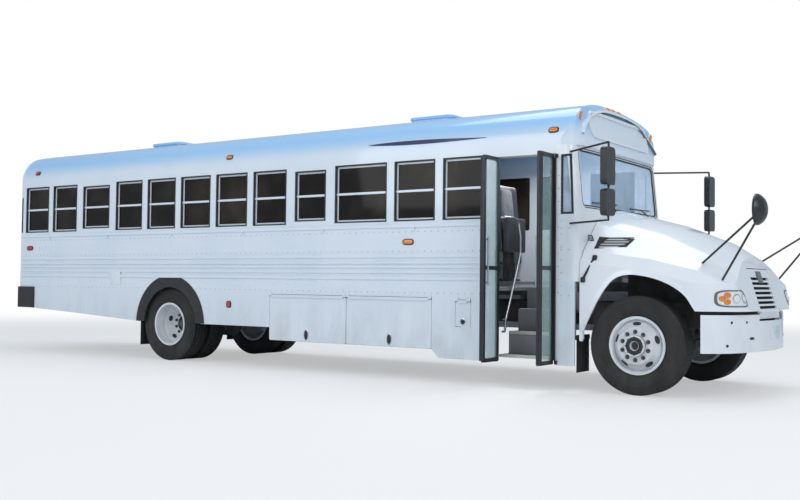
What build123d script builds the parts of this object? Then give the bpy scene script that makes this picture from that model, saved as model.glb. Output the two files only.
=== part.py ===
"""Bonneted coach with a riveted steel body on a ladder frame, in millimetres.

+X points forward, +Y to the driver's side (left) and +Z up. The origin is on the ground under the
middle of the coach's bounding box. Unless a comment says otherwise, an x value is a station
measured forwards from the front axle; the plane helpers below add the front axle's own place.
"""

import os
from math import asin, atan2, cos, degrees, hypot, radians, sin

from build123d import *

os.makedirs("parts", exist_ok=True)

# Overall layout
wheelbase = 6930.0
mirror_reach = 1345.0
tail_length = 3410.0
rear_bumper_depth = 90.0
body_width = 2440.0

# Body stations
screen_x = -615.0
screen_top_x = -690.0
door_front_x = -880.0
door_opening = 720.0
cowl_gap = 8.0

# Body levels above the ground
skirt_z = 540.0
entry_skirt_z = 270.0
tail_skirt_z = 690.0
waist_z = 1170.0
crown_z = 3210.0
cant_z = crown_z - 510.0
wall_top_z = cant_z - 60.0
window_height = 718.0
sill_z = wall_top_z - 54.0 - window_height
screen_bend_z = wall_top_z - 740.0
floor_z = 1100.0

# Body thicknesses and radii
wall = 50.0
skirt_wall = 25.0
floor_wall = 40.0
roof_wall = 45.0
cab_wall = 40.0
roof_corner_radius = 400.0
cab_corner_radius = 70.0
screen_bulge = 25.0
glass_wall = 6.0
seat_gap = 0.3
panel_gap = 5.0

# Running gear
tyre_radius = 515.0
tyre_width = 280.0
rim_radius = 286.0
rim_lip = 17.0
rim_half_width = 120.0
rim_plate = 10.0
front_tyre_y = body_width / 2 - 210.0
outer_tyre_y = body_width / 2 - 190.0
dual_spacing = 340.0
disc_offset = 165.0
kingpin_y = front_tyre_y - 155.0
kingpin_radius = 22.0
spindle_radius = 45.0
steering_arm = 200.0
frame_half_width = 432.0
rail_height = 255.0
rail_top_z = 945.0
rail_flange = 76.0
rail_plate = 8.0
running_gap = 0.3

# Stations that follow from the layout
length = mirror_reach + wheelbase + tail_length + rear_bumper_depth
front_axle_x = length / 2 - mirror_reach
rear_axle_x = -wheelbase
back_x = rear_axle_x - tail_length
door_rear_x = door_front_x - door_opening
half_width = body_width / 2
window_top = sill_z + window_height
rail_bottom_z = rail_top_z - rail_height
floor_bottom_z = floor_z - floor_wall
hub_z = tyre_radius

# The roof's outline: a corner arc and a crown arc that meet in line
corner_centre_y = half_width - roof_corner_radius
roof_rise = crown_z - cant_z
crown_radius = (corner_centre_y**2 + roof_rise**2 - roof_corner_radius**2) / (
    2 * (roof_rise - roof_corner_radius)
)
crown_centre_z = crown_z - crown_radius
join_angle = atan2(cant_z - crown_centre_z, corner_centre_y)


def save(piece, name):
    """Labels a finished piece and writes it to its own STEP file."""
    piece.label = name
    export_step(piece, f"parts/{name}.step")


def side_plane(y):
    """A plane along the coach: local x is the station, local y the height; it extrudes to -Y."""
    return Plane(origin=(front_axle_x, y, 0), x_dir=(1, 0, 0), z_dir=(0, -1, 0))


def plan_plane(z):
    """A level plane: local x is the station, local y the distance to the left."""
    return Plane(origin=(front_axle_x, 0, z))


def cross_plane(x):
    """A plane across the coach: local x points left, local y up; it extrudes forwards."""
    return Plane(origin=(front_axle_x + x, 0, 0), x_dir=(0, 1, 0), z_dir=(1, 0, 0))


def slab_plane(side, outer, inner):
    """The side plane from which a slab between two distances from the middle is extruded."""
    return side_plane(max(side * outer, side * inner))


def block(low, high, mode=Mode.ADD):
    """Adds an upright box between two opposite corners, given as station, left and height."""
    size = [high[i] - low[i] for i in range(3)]
    middle = [(high[i] + low[i]) / 2 for i in range(3)]
    with Locations((front_axle_x + middle[0], middle[1], middle[2])):
        Box(*size, mode=mode)


def arch_face(inset, base_z):
    """Draws the body's cross-section above base_z, moved inwards by inset."""
    side = half_width - inset
    corner = roof_corner_radius - inset
    crown = crown_radius - inset
    join = (crown * cos(join_angle), crown_centre_z + crown * sin(join_angle))
    middle = (
        corner_centre_y + corner * cos(join_angle / 2),
        cant_z + corner * sin(join_angle / 2),
    )
    with BuildLine(mode=Mode.PRIVATE) as arch:
        Polyline((-side, cant_z), (-side, base_z), (side, base_z), (side, cant_z))
        ThreePointArc((side, cant_z), middle, join)
        ThreePointArc(join, (0, crown_centre_z + crown), (-join[0], join[1]))
        ThreePointArc((-join[0], join[1]), (-middle[0], middle[1]), (-side, cant_z))
    make_face(arch.edges())


def cab_plan(inset, rear_x, front_x, corner):
    """Draws the cab's plan outline between two stations, moved inwards by inset."""
    side = half_width - inset
    front = front_x - inset
    with BuildLine(mode=Mode.PRIVATE) as outline:
        Polyline((front, side), (rear_x, side), (rear_x, -side), (front, -side))
        ThreePointArc((front, -side), (front + screen_bulge, 0), (front, side))
    make_face(outline.edges())
    fillet(vertices().group_by(Axis.X)[-1], corner - inset)


# Windows, from the back wall forwards: the width of each bay, and whether it is an exit
pillar = 111.0
back_pillar = 12.0
entry_pillar = 143.0
exit_bay_rear = 796.0
exit_bay_front = 692.0
long_bay = 905.0
plain_bays = 9
odd_bays = exit_bay_rear + exit_bay_front + long_bay
bay = (door_rear_x - entry_pillar - back_x - back_pillar - odd_bays) / plain_bays
bays = [(bay, False)] * 2 + [(exit_bay_rear, True)] + [(bay, False)] * 5
bays += [(exit_bay_front, True), (long_bay, False), (bay, False), (bay, False)]
mid_bar = 22.0
exit_frame = 38.0
window_corner = 25.0
screen_pillar = 150.0

window_openings = []
bay_x = back_x + back_pillar
for bay_width, is_exit in bays:
    window_openings.append((bay_x + pillar, bay_x + bay_width, is_exit))
    bay_x += bay_width
driver_window = (door_rear_x + pillar / 2, door_front_x - pillar / 2, False)
side_openings = {-1: window_openings, 1: window_openings + [driver_window]}

# Rub rails: share of the way from the waist to the sill, and height of the rail
rub_rails = [(0.92, 40), (0.4126, 46), (0.2951, 26), (0.2235, 26), (0.1347, 30), (0.0315, 40)]
rub_depth = 16.0
hinge_room = 24.0

for side, side_name, panel_front in ((-1, "right", door_rear_x), (1, "left", door_front_x)):
    with BuildPart() as body_side:
        with BuildSketch(slab_plane(side, half_width, half_width - wall)):
            Polygon(
                (back_x + wall, waist_z),
                (panel_front, waist_z),
                (panel_front, wall_top_z),
                (back_x + wall, wall_top_z),
                align=None,
            )
            for low_x, high_x, is_exit in side_openings[side]:
                frame = exit_frame if is_exit else 0
                height = window_height - 2 * frame
                with Locations(((low_x + high_x) / 2, sill_z + window_height / 2)):
                    RectangleRounded(
                        high_x - low_x - 2 * frame, height, window_corner, mode=Mode.SUBTRACT
                    )
        extrude(amount=wall)
        with BuildSketch(slab_plane(side, half_width - 0.3 * wall, half_width - 0.6 * wall)):
            for low_x, high_x, is_exit in side_openings[side]:
                with Locations(((low_x + high_x) / 2, sill_z + window_height / 2)):
                    Rectangle(high_x - low_x + 2, mid_bar)
        extrude(amount=0.3 * wall)
        with BuildSketch(slab_plane(side, half_width + rub_depth, half_width)):
            for share, rail in rub_rails:
                middle_z = waist_z + share * (sill_z - waist_z)
                with Locations(((back_x + wall + panel_front - hinge_room) / 2, middle_z)):
                    Rectangle(panel_front - hinge_room - back_x - wall, rail)
        extrude(amount=rub_depth)
    save(body_side.part, f"{side_name}_side")

# Back wall with the exit door's opening and a window on each side of it
exit_half_width = 420.0
exit_top_z = wall_top_z - 160.0
rear_window_width = 480.0
rear_window_y = half_width - 180.0 - rear_window_width / 2
rear_window_top = wall_top_z - 200.0
rear_hinge_out = 16.0
exit_hinge_low_z = floor_z + 60
exit_hinge_high_z = exit_top_z - 60
pin_radius = 5.0
barrel_radius = 8.0
barrel_end = 40.0
with BuildPart() as rear_wall:
    with BuildSketch(cross_plane(back_x)):
        arch_face(0, tail_skirt_z)
        with Locations((0, (floor_z + exit_top_z) / 2)):
            Rectangle(2 * exit_half_width, exit_top_z - floor_z, mode=Mode.SUBTRACT)
        with Locations((-rear_window_y, (sill_z + rear_window_top) / 2)):
            RectangleRounded(
                rear_window_width, rear_window_top - sill_z, window_corner, mode=Mode.SUBTRACT
            )
        with Locations((rear_window_y, (sill_z + rear_window_top) / 2)):
            RectangleRounded(
                rear_window_width, rear_window_top - sill_z, window_corner, mode=Mode.SUBTRACT
            )
    extrude(amount=wall)
    with BuildSketch(Plane(origin=(front_axle_x, 0, exit_hinge_low_z))):
        with Locations((back_x - rear_hinge_out, -exit_half_width)):
            Circle(pin_radius)
    extrude(amount=exit_hinge_high_z - exit_hinge_low_z)
    for end_z in (exit_hinge_low_z, exit_hinge_high_z - barrel_end):
        with BuildSketch(plan_plane(end_z)):
            with Locations((back_x - rear_hinge_out, -exit_half_width)):
                Circle(barrel_radius)
        extrude(amount=barrel_end)
        block(
            (back_x - rear_hinge_out, -exit_half_width - 30, end_z),
            (back_x + 1, -exit_half_width + 4, end_z + barrel_end),
        )
save(rear_wall.part, "rear_wall")

# Side and rear glass, one pane in each opening
with BuildPart() as window_glass:
    for side in (-1, 1):
        with BuildSketch(slab_plane(side, half_width - 0.7 * wall, half_width - 0.7 * wall - glass_wall)):
            for low_x, high_x, is_exit in side_openings[side]:
                frame = (exit_frame if is_exit else 0) + seat_gap
                with Locations(((low_x + high_x) / 2, sill_z + window_height / 2)):
                    RectangleRounded(
                        high_x - low_x - 2 * frame,
                        window_height - 2 * frame,
                        window_corner - seat_gap,
                    )
        extrude(amount=glass_wall)
    with BuildSketch(cross_plane(back_x + wall / 2)):
        with Locations(
            (-rear_window_y, (sill_z + rear_window_top) / 2),
            (rear_window_y, (sill_z + rear_window_top) / 2),
        ):
            RectangleRounded(
                rear_window_width - 2 * seat_gap,
                rear_window_top - sill_z - 2 * seat_gap,
                window_corner - seat_gap,
            )
    extrude(amount=glass_wall)
save(window_glass.part, "window_glass")

# Roof: plain panels, and between them two short ones with the hatches' openings and coamings
hatch_stations = (door_front_x - 2220.0, back_x + 2340.0)
hatch_size = 620.0
hatch_panel = 1000.0
coaming_wall = 20.0
coaming_z = crown_z + 28.0
lid_overhang = 20.0
lid_height = 34.0
hatch_hinge_x = hatch_size / 2 + lid_overhang + 14.0
hatch_hinge_z = coaming_z + 10.0
hatch_hinge_half = 200.0
panel_stations = [back_x + wall]
for hatch_x in reversed(hatch_stations):
    panel_stations += [hatch_x - hatch_panel / 2 - seat_gap, hatch_x + hatch_panel / 2 + seat_gap]
panel_stations.append(door_front_x)
with BuildPart() as roof:
    for rear_x, front_x in zip(panel_stations[0::2], panel_stations[1::2]):
        with BuildSketch(cross_plane(rear_x)):
            arch_face(0, wall_top_z)
        extrude(amount=front_x - rear_x)
        with BuildSketch(cross_plane(rear_x)):
            arch_face(roof_wall, wall_top_z)
        extrude(amount=front_x - rear_x, mode=Mode.SUBTRACT)
save(roof.part, "roof")

with BuildPart() as hatch_panels:
    for hatch_x in hatch_stations:
        with BuildSketch(cross_plane(hatch_x - hatch_panel / 2)):
            arch_face(0, wall_top_z)
        extrude(amount=hatch_panel)
        with BuildSketch(plan_plane(crown_z - 3 * roof_wall)):
            with Locations((hatch_x, 0)):
                RectangleRounded(hatch_size, hatch_size, 60)
        extrude(amount=coaming_z - crown_z + 3 * roof_wall)
        with BuildSketch(cross_plane(hatch_x - hatch_panel / 2)):
            arch_face(roof_wall, wall_top_z)
        extrude(amount=hatch_panel, mode=Mode.SUBTRACT)
        with BuildSketch(plan_plane(crown_z - 3 * roof_wall)):
            with Locations((hatch_x, 0)):
                RectangleRounded(
                    hatch_size - 2 * coaming_wall, hatch_size - 2 * coaming_wall, 60 - coaming_wall
                )
        extrude(amount=4 * roof_wall, mode=Mode.SUBTRACT)
    for hatch_x in hatch_stations:
        hinge_x = hatch_x + hatch_hinge_x
        with BuildSketch(side_plane(hatch_hinge_half)):
            with Locations((hinge_x, hatch_hinge_z)):
                Circle(pin_radius)
        extrude(amount=2 * hatch_hinge_half)
        for end_y in (-hatch_hinge_half, hatch_hinge_half - barrel_end):
            with BuildSketch(side_plane(end_y + barrel_end)):
                with Locations((hinge_x, hatch_hinge_z)):
                    Circle(barrel_radius)
            extrude(amount=barrel_end)
            block(
                (hinge_x - barrel_radius, end_y, crown_z - roof_wall / 2),
                (hinge_x + barrel_radius, end_y + barrel_end, hatch_hinge_z),
            )
save(hatch_panels.part, "hatch_panels")

# Roof hatch lids, hinged at their front edge
for hatch_x, name in zip(hatch_stations, ("front", "rear")):
    with BuildPart() as hatch:
        with BuildSketch(plan_plane(coaming_z + seat_gap)):
            with Locations((hatch_x, 0)):
                RectangleRounded(
                    hatch_size + 2 * lid_overhang, hatch_size + 2 * lid_overhang, 80
                )
        extrude(amount=lid_height, taper=18)
        hinge_x = hatch_x + hatch_hinge_x
        barrel_half = hatch_hinge_half - barrel_end - 1
        with BuildSketch(side_plane(barrel_half)):
            with Locations((hinge_x, hatch_hinge_z)):
                Circle(barrel_radius)
        extrude(amount=2 * barrel_half)
        block(
            (hinge_x - 24, -barrel_half, coaming_z + seat_gap),
            (hinge_x, barrel_half, coaming_z + 6),
        )
        with BuildSketch(side_plane(barrel_half)):
            with Locations((hinge_x, hatch_hinge_z)):
                Circle(pin_radius + running_gap)
        extrude(amount=2 * barrel_half, mode=Mode.SUBTRACT)
    save(hatch.part, f"roof_hatch_{name}")


def cap_form(inset):
    """The front cap's form: the roof's arch, cut by its side profile and its plan outline."""
    rear = door_front_x
    front = screen_top_x + screen_bulge + 45.0 - inset
    with BuildPart() as form:
        with BuildSketch(cross_plane(rear)):
            arch_face(inset, wall_top_z)
        extrude(amount=front + 60 - rear)
        with BuildSketch(side_plane(half_width + 10)):
            with BuildLine():
                Polyline(
                    (front + 5, wall_top_z),
                    (front - 10, wall_top_z + 70),
                    (front - 75, wall_top_z + 330),
                )
                ThreePointArc(
                    (front - 75, wall_top_z + 330),
                    (front - 105, crown_z - inset - 75),
                    (rear, crown_z - inset + 30),
                )
                Polyline((rear, crown_z - inset + 30), (rear, wall_top_z), (front + 5, wall_top_z))
            make_face()
        extrude(amount=2 * half_width + 20, mode=Mode.INTERSECT)
        with BuildSketch(plan_plane(wall_top_z)):
            cab_plan(inset, rear, front - screen_bulge + inset, cab_corner_radius + 130)
        extrude(amount=roof_rise + 200, mode=Mode.INTERSECT)
    return form.part


cap_core = cap_form(roof_wall)
cap_shell = cap_form(0)
with BuildPart() as front_cap:
    add(cap_shell)
    add(cap_core, mode=Mode.SUBTRACT)
save(front_cap.part, "front_cap")


def cab_form(inset, base_z, rear_x):
    """The cab's form between base_z and the wall top: upright, then leaning back."""
    with BuildPart() as form:
        with BuildSketch(plan_plane(base_z)):
            cab_plan(inset, rear_x, screen_x, cab_corner_radius)
        extrude(amount=screen_bend_z - base_z)
        with BuildSketch(plan_plane(screen_bend_z)):
            cab_plan(inset, rear_x, screen_x, cab_corner_radius)
        with BuildSketch(plan_plane(wall_top_z)):
            cab_plan(inset, rear_x, screen_top_x, cab_corner_radius)
        loft(ruled=True)
    return form.part


# Cab front: screen surround, corner posts with a quarter window, and the panel below
screen_half_width = half_width - 130.0
screen_low_z = wall_top_z - 655.0
screen_high_z = wall_top_z - 40.0
quarter_low_z = wall_top_z - 730.0
quarter_high_z = wall_top_z - 120.0
cab_core = cab_form(cab_wall, waist_z, door_front_x)
cab_shell = cab_form(0, waist_z, door_front_x)
with BuildPart() as cab_front:
    add(cab_shell)
    add(cab_core, mode=Mode.SUBTRACT)
    with BuildSketch(cross_plane(screen_top_x - 150)):
        with Locations((0, (screen_low_z + screen_high_z) / 2)):
            RectangleRounded(2 * screen_half_width, screen_high_z - screen_low_z, 60)
    extrude(amount=400, mode=Mode.SUBTRACT)
    with BuildSketch(side_plane(half_width + 1)):
        Polygon(
            (door_front_x + 75, quarter_low_z),
            (screen_x - 75, quarter_low_z),
            (screen_top_x - 60, quarter_high_z),
            (door_front_x + 75, quarter_high_z),
            align=None,
        )
    extrude(amount=2 * half_width + 2, mode=Mode.SUBTRACT)
save(cab_front.part, "cab_front")

pane_shell = cab_form(cab_wall * 0.4, waist_z, door_front_x)
pane_core = cab_form(cab_wall * 0.4 + glass_wall, waist_z, door_front_x)
with BuildPart() as windshield:
    add(pane_shell)
    add(pane_core, mode=Mode.SUBTRACT)
    with BuildSketch(cross_plane(screen_top_x - 150)):
        with Locations((0, (screen_low_z + screen_high_z) / 2)):
            RectangleRounded(
                2 * (screen_half_width - seat_gap),
                screen_high_z - screen_low_z - 2 * seat_gap,
                60 - seat_gap,
            )
    extrude(amount=400, mode=Mode.INTERSECT)
save(windshield.part, "windshield")

with BuildPart() as quarter_glass:
    for side in (-1, 1):
        pane_y = half_width - 0.4 * cab_wall
        with BuildSketch(slab_plane(side, pane_y, pane_y - glass_wall)):
            Polygon(
                (door_front_x + 75 + seat_gap, quarter_low_z + seat_gap),
                (screen_x - 75 - seat_gap, quarter_low_z + seat_gap),
                (screen_top_x - 60 - seat_gap, quarter_high_z - seat_gap),
                (door_front_x + 75 + seat_gap, quarter_high_z - seat_gap),
                align=None,
            )
        extrude(amount=glass_wall)
save(quarter_glass.part, "quarter_glass")

# Entry header between the side wall and the cab front
entry_head_z = wall_top_z - 85.0
with BuildPart() as entry_header:
    block(
        (door_rear_x, -half_width, entry_head_z),
        (door_front_x, -half_width + wall, wall_top_z),
    )
save(entry_header.part, "entry_header")

# Entry steps: sizes that the floor's well follows
step_count = 3
step_rise = 250.0
step_run = 225.0
step_wall = 25.0
step_face_y = half_width - wall - 10
well_y = step_face_y - step_count * step_run

# Floor sills, which stand on the frame rails
sill_pitch = 688.0
sill_width = 60.0
sill_stations = []
while back_x + (len(sill_stations) + 1) * sill_pitch - 20 < door_rear_x - sill_width:
    sill_stations.append(back_x + (len(sill_stations) + 1) * sill_pitch - 20)
sill_low_z = 1000.0
tyre_room = 560.0
# Skirts: stations of the bottom edge, arch and luggage opening
arch_rear = -550.0
arch_front = 690.0
arch_cut_rear = -130.0
arch_cut_front = 230.0
luggage_front_x = door_rear_x - 860.0
luggage_rear_x = luggage_front_x - 2520.0
luggage_low_z = 370.0
luggage_high_z = 970.0
post = 110.0
skirt_front_x = -660.0
battery_front_x = door_rear_x - 330.0
battery_rear_x = battery_front_x - 210.0
battery_low_z = 640.0
battery_high_z = 950.0


# Doors hinged along their top in the right skirt: name, rear and front station, lower and upper edge
luggage_middle_x = (luggage_rear_x + luggage_front_x) / 2 + 5.0
flap_hinge_y = half_width + barrel_radius + panel_gap
flap_hinge_drop = 12.0
flap_doors = [
    ("luggage_door_rear", luggage_rear_x, luggage_middle_x, luggage_low_z, luggage_high_z),
    ("luggage_door_front", luggage_middle_x, luggage_front_x, luggage_low_z, luggage_high_z),
    ("battery_door", battery_rear_x, battery_front_x, battery_low_z, battery_high_z),
]


def tail_skirt():
    """Draws the skirt behind the rear wheels, with its rising bottom edge and cut-back arch."""
    Polygon(
        (back_x + wall, waist_z),
        (back_x + wall, tail_skirt_z),
        (rear_axle_x - 1950, tail_skirt_z - 70),
        (rear_axle_x + arch_rear, skirt_z),
        (rear_axle_x + arch_cut_rear, waist_z),
        align=None,
    )


with BuildPart() as right_skirt:
    with BuildSketch(slab_plane(-1, half_width, half_width - skirt_wall)):
        tail_skirt()
        Polygon(
            (rear_axle_x + arch_cut_front, waist_z),
            (rear_axle_x + arch_front, skirt_z),
            (luggage_rear_x, skirt_z),
            (luggage_rear_x, waist_z),
            align=None,
        )
        Polygon(
            (luggage_rear_x + seat_gap, luggage_high_z),
            (luggage_front_x - seat_gap, luggage_high_z),
            (luggage_front_x - seat_gap, waist_z),
            (luggage_rear_x + seat_gap, waist_z),
            align=None,
        )
        Polygon(
            (luggage_front_x, luggage_low_z),
            (luggage_front_x + 100, entry_skirt_z),
            (door_rear_x, entry_skirt_z),
            (door_rear_x, waist_z),
            (luggage_front_x, waist_z),
            align=None,
        )
        Polygon(
            (door_front_x, entry_skirt_z),
            (skirt_front_x, entry_skirt_z),
            (skirt_front_x, waist_z),
            (door_front_x, waist_z),
            align=None,
        )
        with Locations(((battery_rear_x + battery_front_x) / 2, (battery_low_z + battery_high_z) / 2)):
            Rectangle(
                battery_front_x - battery_rear_x,
                battery_high_z - battery_low_z,
                mode=Mode.SUBTRACT,
            )
    extrude(amount=skirt_wall)
    for name, low_x, high_x, low_z, high_z in flap_doors:
        axis_z = high_z - flap_hinge_drop
        with BuildSketch(cross_plane(low_x + panel_gap)):
            with Locations((-flap_hinge_y, axis_z)):
                Circle(pin_radius)
        extrude(amount=high_x - low_x - 2 * panel_gap)
        for end_x in (low_x + panel_gap, high_x - panel_gap - barrel_end):
            with BuildSketch(cross_plane(end_x)):
                with Locations((-flap_hinge_y, axis_z)):
                    Circle(barrel_radius)
            extrude(amount=barrel_end)
            block(
                (end_x, -flap_hinge_y - 2, axis_z),
                (end_x + barrel_end, -half_width + 1, high_z + 20),
            )
save(right_skirt.part, "right_skirt")

with BuildPart() as left_skirt:
    with BuildSketch(slab_plane(1, half_width, half_width - skirt_wall)):
        tail_skirt()
        Polygon(
            (rear_axle_x + arch_cut_front, waist_z),
            (rear_axle_x + arch_front, skirt_z),
            (skirt_front_x, skirt_z),
            (skirt_front_x, waist_z),
            align=None,
        )
    extrude(amount=skirt_wall)
save(left_skirt.part, "left_skirt")

# Rear arch lips
lip_depth = 40.0
lip_wall = 22.0
with BuildPart() as arch_lips:
    for side in (-1, 1):
        with BuildSketch(slab_plane(side, half_width, half_width - lip_depth)):
            Polygon(
                (rear_axle_x + arch_rear, skirt_z),
                (rear_axle_x + arch_cut_rear, waist_z),
                (rear_axle_x + arch_cut_front, waist_z),
                (rear_axle_x + arch_front, skirt_z),
                (rear_axle_x + arch_front - lip_wall, skirt_z),
                (rear_axle_x + arch_cut_front - lip_wall / 2, waist_z - lip_wall),
                (rear_axle_x + arch_cut_rear + lip_wall / 2, waist_z - lip_wall),
                (rear_axle_x + arch_rear + lip_wall, skirt_z),
                align=None,
            )
        extrude(amount=lip_depth)
save(arch_lips.part, "arch_lips")

# Luggage box behind the two doors
box_depth = 620.0
box_wall = 20.0
door_wall = 28.0
door_seat = 8.0
box_face_y = half_width - door_wall - door_seat
with BuildPart() as luggage_box:
    block(
        (luggage_rear_x, -box_face_y, luggage_low_z),
        (luggage_front_x, -box_face_y + box_depth, luggage_high_z - 12),
    )
    block(
        (luggage_rear_x + box_wall, -box_face_y - 1, luggage_low_z + box_wall),
        (luggage_front_x - box_wall, -box_face_y + box_depth - box_wall, luggage_high_z - 12 - box_wall),
        mode=Mode.SUBTRACT,
    )
    for sill_x in sill_stations:
        if luggage_rear_x + sill_width < sill_x < luggage_front_x - sill_width:
            block(
                (sill_x - 20, -box_face_y + 60, luggage_high_z - 13),
                (sill_x + 20, -box_face_y + box_depth, sill_low_z),
            )
save(luggage_box.part, "luggage_box")

# Side doors, hinged along their top on pins that the skirt carries
for name, low_x, high_x, low_z, high_z in flap_doors:
    top_z = high_z - 2 * flap_hinge_drop
    with BuildPart() as flap:
        with BuildSketch(slab_plane(-1, half_width, half_width - min(door_wall, skirt_wall))):
            with Locations(((low_x + high_x) / 2, (low_z + panel_gap + top_z) / 2)):
                RectangleRounded(high_x - low_x - 2 * panel_gap, top_z - low_z - panel_gap, 18)
        extrude(amount=min(door_wall, skirt_wall))
        axis_z = high_z - flap_hinge_drop
        barrel_low_x = low_x + panel_gap + barrel_end + 1
        barrel_high_x = high_x - panel_gap - barrel_end - 1
        with BuildSketch(cross_plane(barrel_low_x)):
            with Locations((-flap_hinge_y, axis_z)):
                Circle(barrel_radius)
        extrude(amount=barrel_high_x - barrel_low_x)
        block(
            (barrel_low_x, -flap_hinge_y - 4, top_z - 14),
            (barrel_high_x, -half_width + 5, axis_z - 2),
        )
        with BuildSketch(cross_plane(barrel_low_x)):
            with Locations((-flap_hinge_y, axis_z)):
                Circle(pin_radius + running_gap)
        extrude(amount=barrel_high_x - barrel_low_x, mode=Mode.SUBTRACT)
    save(flap.part, name)

# Rear exit door and its glass
exit_door_wall = 40.0
exit_window_low_z = sill_z - 38.0
exit_window_high_z = exit_top_z - 80.0
exit_window_half = 330.0
with BuildPart() as exit_door:
    with BuildSketch(cross_plane(back_x)):
        with Locations((0, (floor_z + exit_top_z) / 2)):
            Rectangle(
                2 * (exit_half_width - panel_gap), exit_top_z - floor_z - 2 * panel_gap
            )
        with Locations((0, (exit_window_low_z + exit_window_high_z) / 2)):
            RectangleRounded(
                2 * exit_window_half,
                exit_window_high_z - exit_window_low_z,
                window_corner,
                mode=Mode.SUBTRACT,
            )
    extrude(amount=exit_door_wall)
    barrel_low_z = exit_hinge_low_z + barrel_end + 1
    barrel_high_z = exit_hinge_high_z - barrel_end - 1
    with BuildSketch(plan_plane(barrel_low_z)):
        with Locations((back_x - rear_hinge_out, -exit_half_width)):
            Circle(barrel_radius)
    extrude(amount=barrel_high_z - barrel_low_z)
    block(
        (back_x - rear_hinge_out - 4, -exit_half_width + 3, barrel_low_z),
        (back_x + 5, -exit_half_width + 18, barrel_high_z),
    )
    with BuildSketch(plan_plane(barrel_low_z)):
        with Locations((back_x - rear_hinge_out, -exit_half_width)):
            Circle(pin_radius + running_gap)
    extrude(amount=barrel_high_z - barrel_low_z, mode=Mode.SUBTRACT)
save(exit_door.part, "exit_door")
with BuildPart() as exit_door_glass:
    with BuildSketch(cross_plane(back_x + exit_door_wall / 2)):
        with Locations((0, (exit_window_low_z + exit_window_high_z) / 2)):
            RectangleRounded(
                2 * (exit_window_half - seat_gap),
                exit_window_high_z - exit_window_low_z - 2 * seat_gap,
                window_corner - seat_gap,
            )
    extrude(amount=glass_wall)
save(exit_door_glass.part, "exit_door_glass")

# Entry door leaves, standing open: each hangs on its own jamb
leaf_axis_y = half_width + 14.0
leaf_wall = 30.0
leaf_start = 6.0
leaf_width = door_opening / 2 - panel_gap - leaf_start
leaf_low_z = entry_skirt_z + 12.0
leaf_high_z = entry_head_z - 12.0
leaf_frame = 42.0
leaf_rail_z = 1290.0
leaf_outer = leaf_axis_y - half_width
for name, jamb_x, inward in (("rear", door_rear_x, 1), ("front", door_front_x, -1)):
    near_x = jamb_x + inward * leaf_outer
    far_x = jamb_x + inward * (leaf_outer + leaf_wall)
    middle_y = -(leaf_axis_y + leaf_start + leaf_width / 2)
    with BuildPart() as leaf:
        with BuildSketch(cross_plane(min(near_x, far_x))):
            with Locations((middle_y, (leaf_low_z + leaf_high_z) / 2)):
                RectangleRounded(leaf_width, leaf_high_z - leaf_low_z, 20)
            with Locations((middle_y, (leaf_low_z + leaf_frame + leaf_rail_z) / 2)):
                RectangleRounded(
                    leaf_width - 2 * leaf_frame,
                    leaf_rail_z - leaf_low_z - leaf_frame,
                    20,
                    mode=Mode.SUBTRACT,
                )
            with Locations((middle_y, (leaf_rail_z + leaf_high_z) / 2)):
                RectangleRounded(
                    leaf_width - 2 * leaf_frame,
                    leaf_high_z - leaf_rail_z - 2 * leaf_frame,
                    20,
                    mode=Mode.SUBTRACT,
                )
        extrude(amount=leaf_wall)
        barrel_low_z = leaf_low_z + barrel_end + 1
        barrel_high_z = leaf_high_z - barrel_end - 1
        with BuildSketch(plan_plane(barrel_low_z)):
            with Locations((jamb_x, -leaf_axis_y)):
                Circle(barrel_radius)
        extrude(amount=barrel_high_z - barrel_low_z)
        strap_ends = (jamb_x - inward * 4, jamb_x + inward * (leaf_outer + 6))
        block(
            (min(strap_ends), -leaf_axis_y - 14, barrel_low_z),
            (max(strap_ends), -leaf_axis_y - leaf_start, barrel_high_z),
        )
        with BuildSketch(plan_plane(barrel_low_z)):
            with Locations((jamb_x, -leaf_axis_y)):
                Circle(pin_radius + running_gap)
        extrude(amount=barrel_high_z - barrel_low_z, mode=Mode.SUBTRACT)
    save(leaf.part, f"entry_leaf_{name}")
    with BuildPart() as leaf_glass:
        with BuildSketch(cross_plane((near_x + far_x - glass_wall) / 2)):
            with Locations((middle_y, (leaf_low_z + leaf_frame + leaf_rail_z) / 2)):
                RectangleRounded(
                    leaf_width - 2 * leaf_frame - 2 * seat_gap,
                    leaf_rail_z - leaf_low_z - leaf_frame - 2 * seat_gap,
                    20 - seat_gap,
                )
            with Locations((middle_y, (leaf_rail_z + leaf_high_z) / 2)):
                RectangleRounded(
                    leaf_width - 2 * leaf_frame - 2 * seat_gap,
                    leaf_high_z - leaf_rail_z - 2 * leaf_frame - 2 * seat_gap,
                    20 - seat_gap,
                )
        extrude(amount=glass_wall)
    save(leaf_glass.part, f"entry_glass_{name}")

# Hinge pins of the entry leaves, with their end barrels, on the faces of the jambs
with BuildPart() as entry_hinges:
    for jamb_x, inward in ((door_rear_x, 1), (door_front_x, -1)):
        with BuildSketch(plan_plane(leaf_low_z)):
            with Locations((jamb_x, -leaf_axis_y)):
                Circle(pin_radius)
        extrude(amount=leaf_high_z - leaf_low_z)
        for end_z in (leaf_low_z, leaf_high_z - barrel_end):
            with BuildSketch(plan_plane(end_z)):
                with Locations((jamb_x, -leaf_axis_y)):
                    Circle(barrel_radius)
            extrude(amount=barrel_end)
            lug_ends = (jamb_x - inward * hinge_room, jamb_x)
            block(
                (min(lug_ends), -leaf_axis_y - 3, end_z),
                (max(lug_ends), -half_width, end_z + barrel_end),
            )
save(entry_hinges.part, "entry_hinges")

# Hood hinges beside the grille
hood_hinge_z = 868.0
hood_hinge_y = 420.0
hood_pin_radius = 6.0
hood_eye_radius = 12.0
hood_plate = 16.0
hood_lug = 11.0

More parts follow.
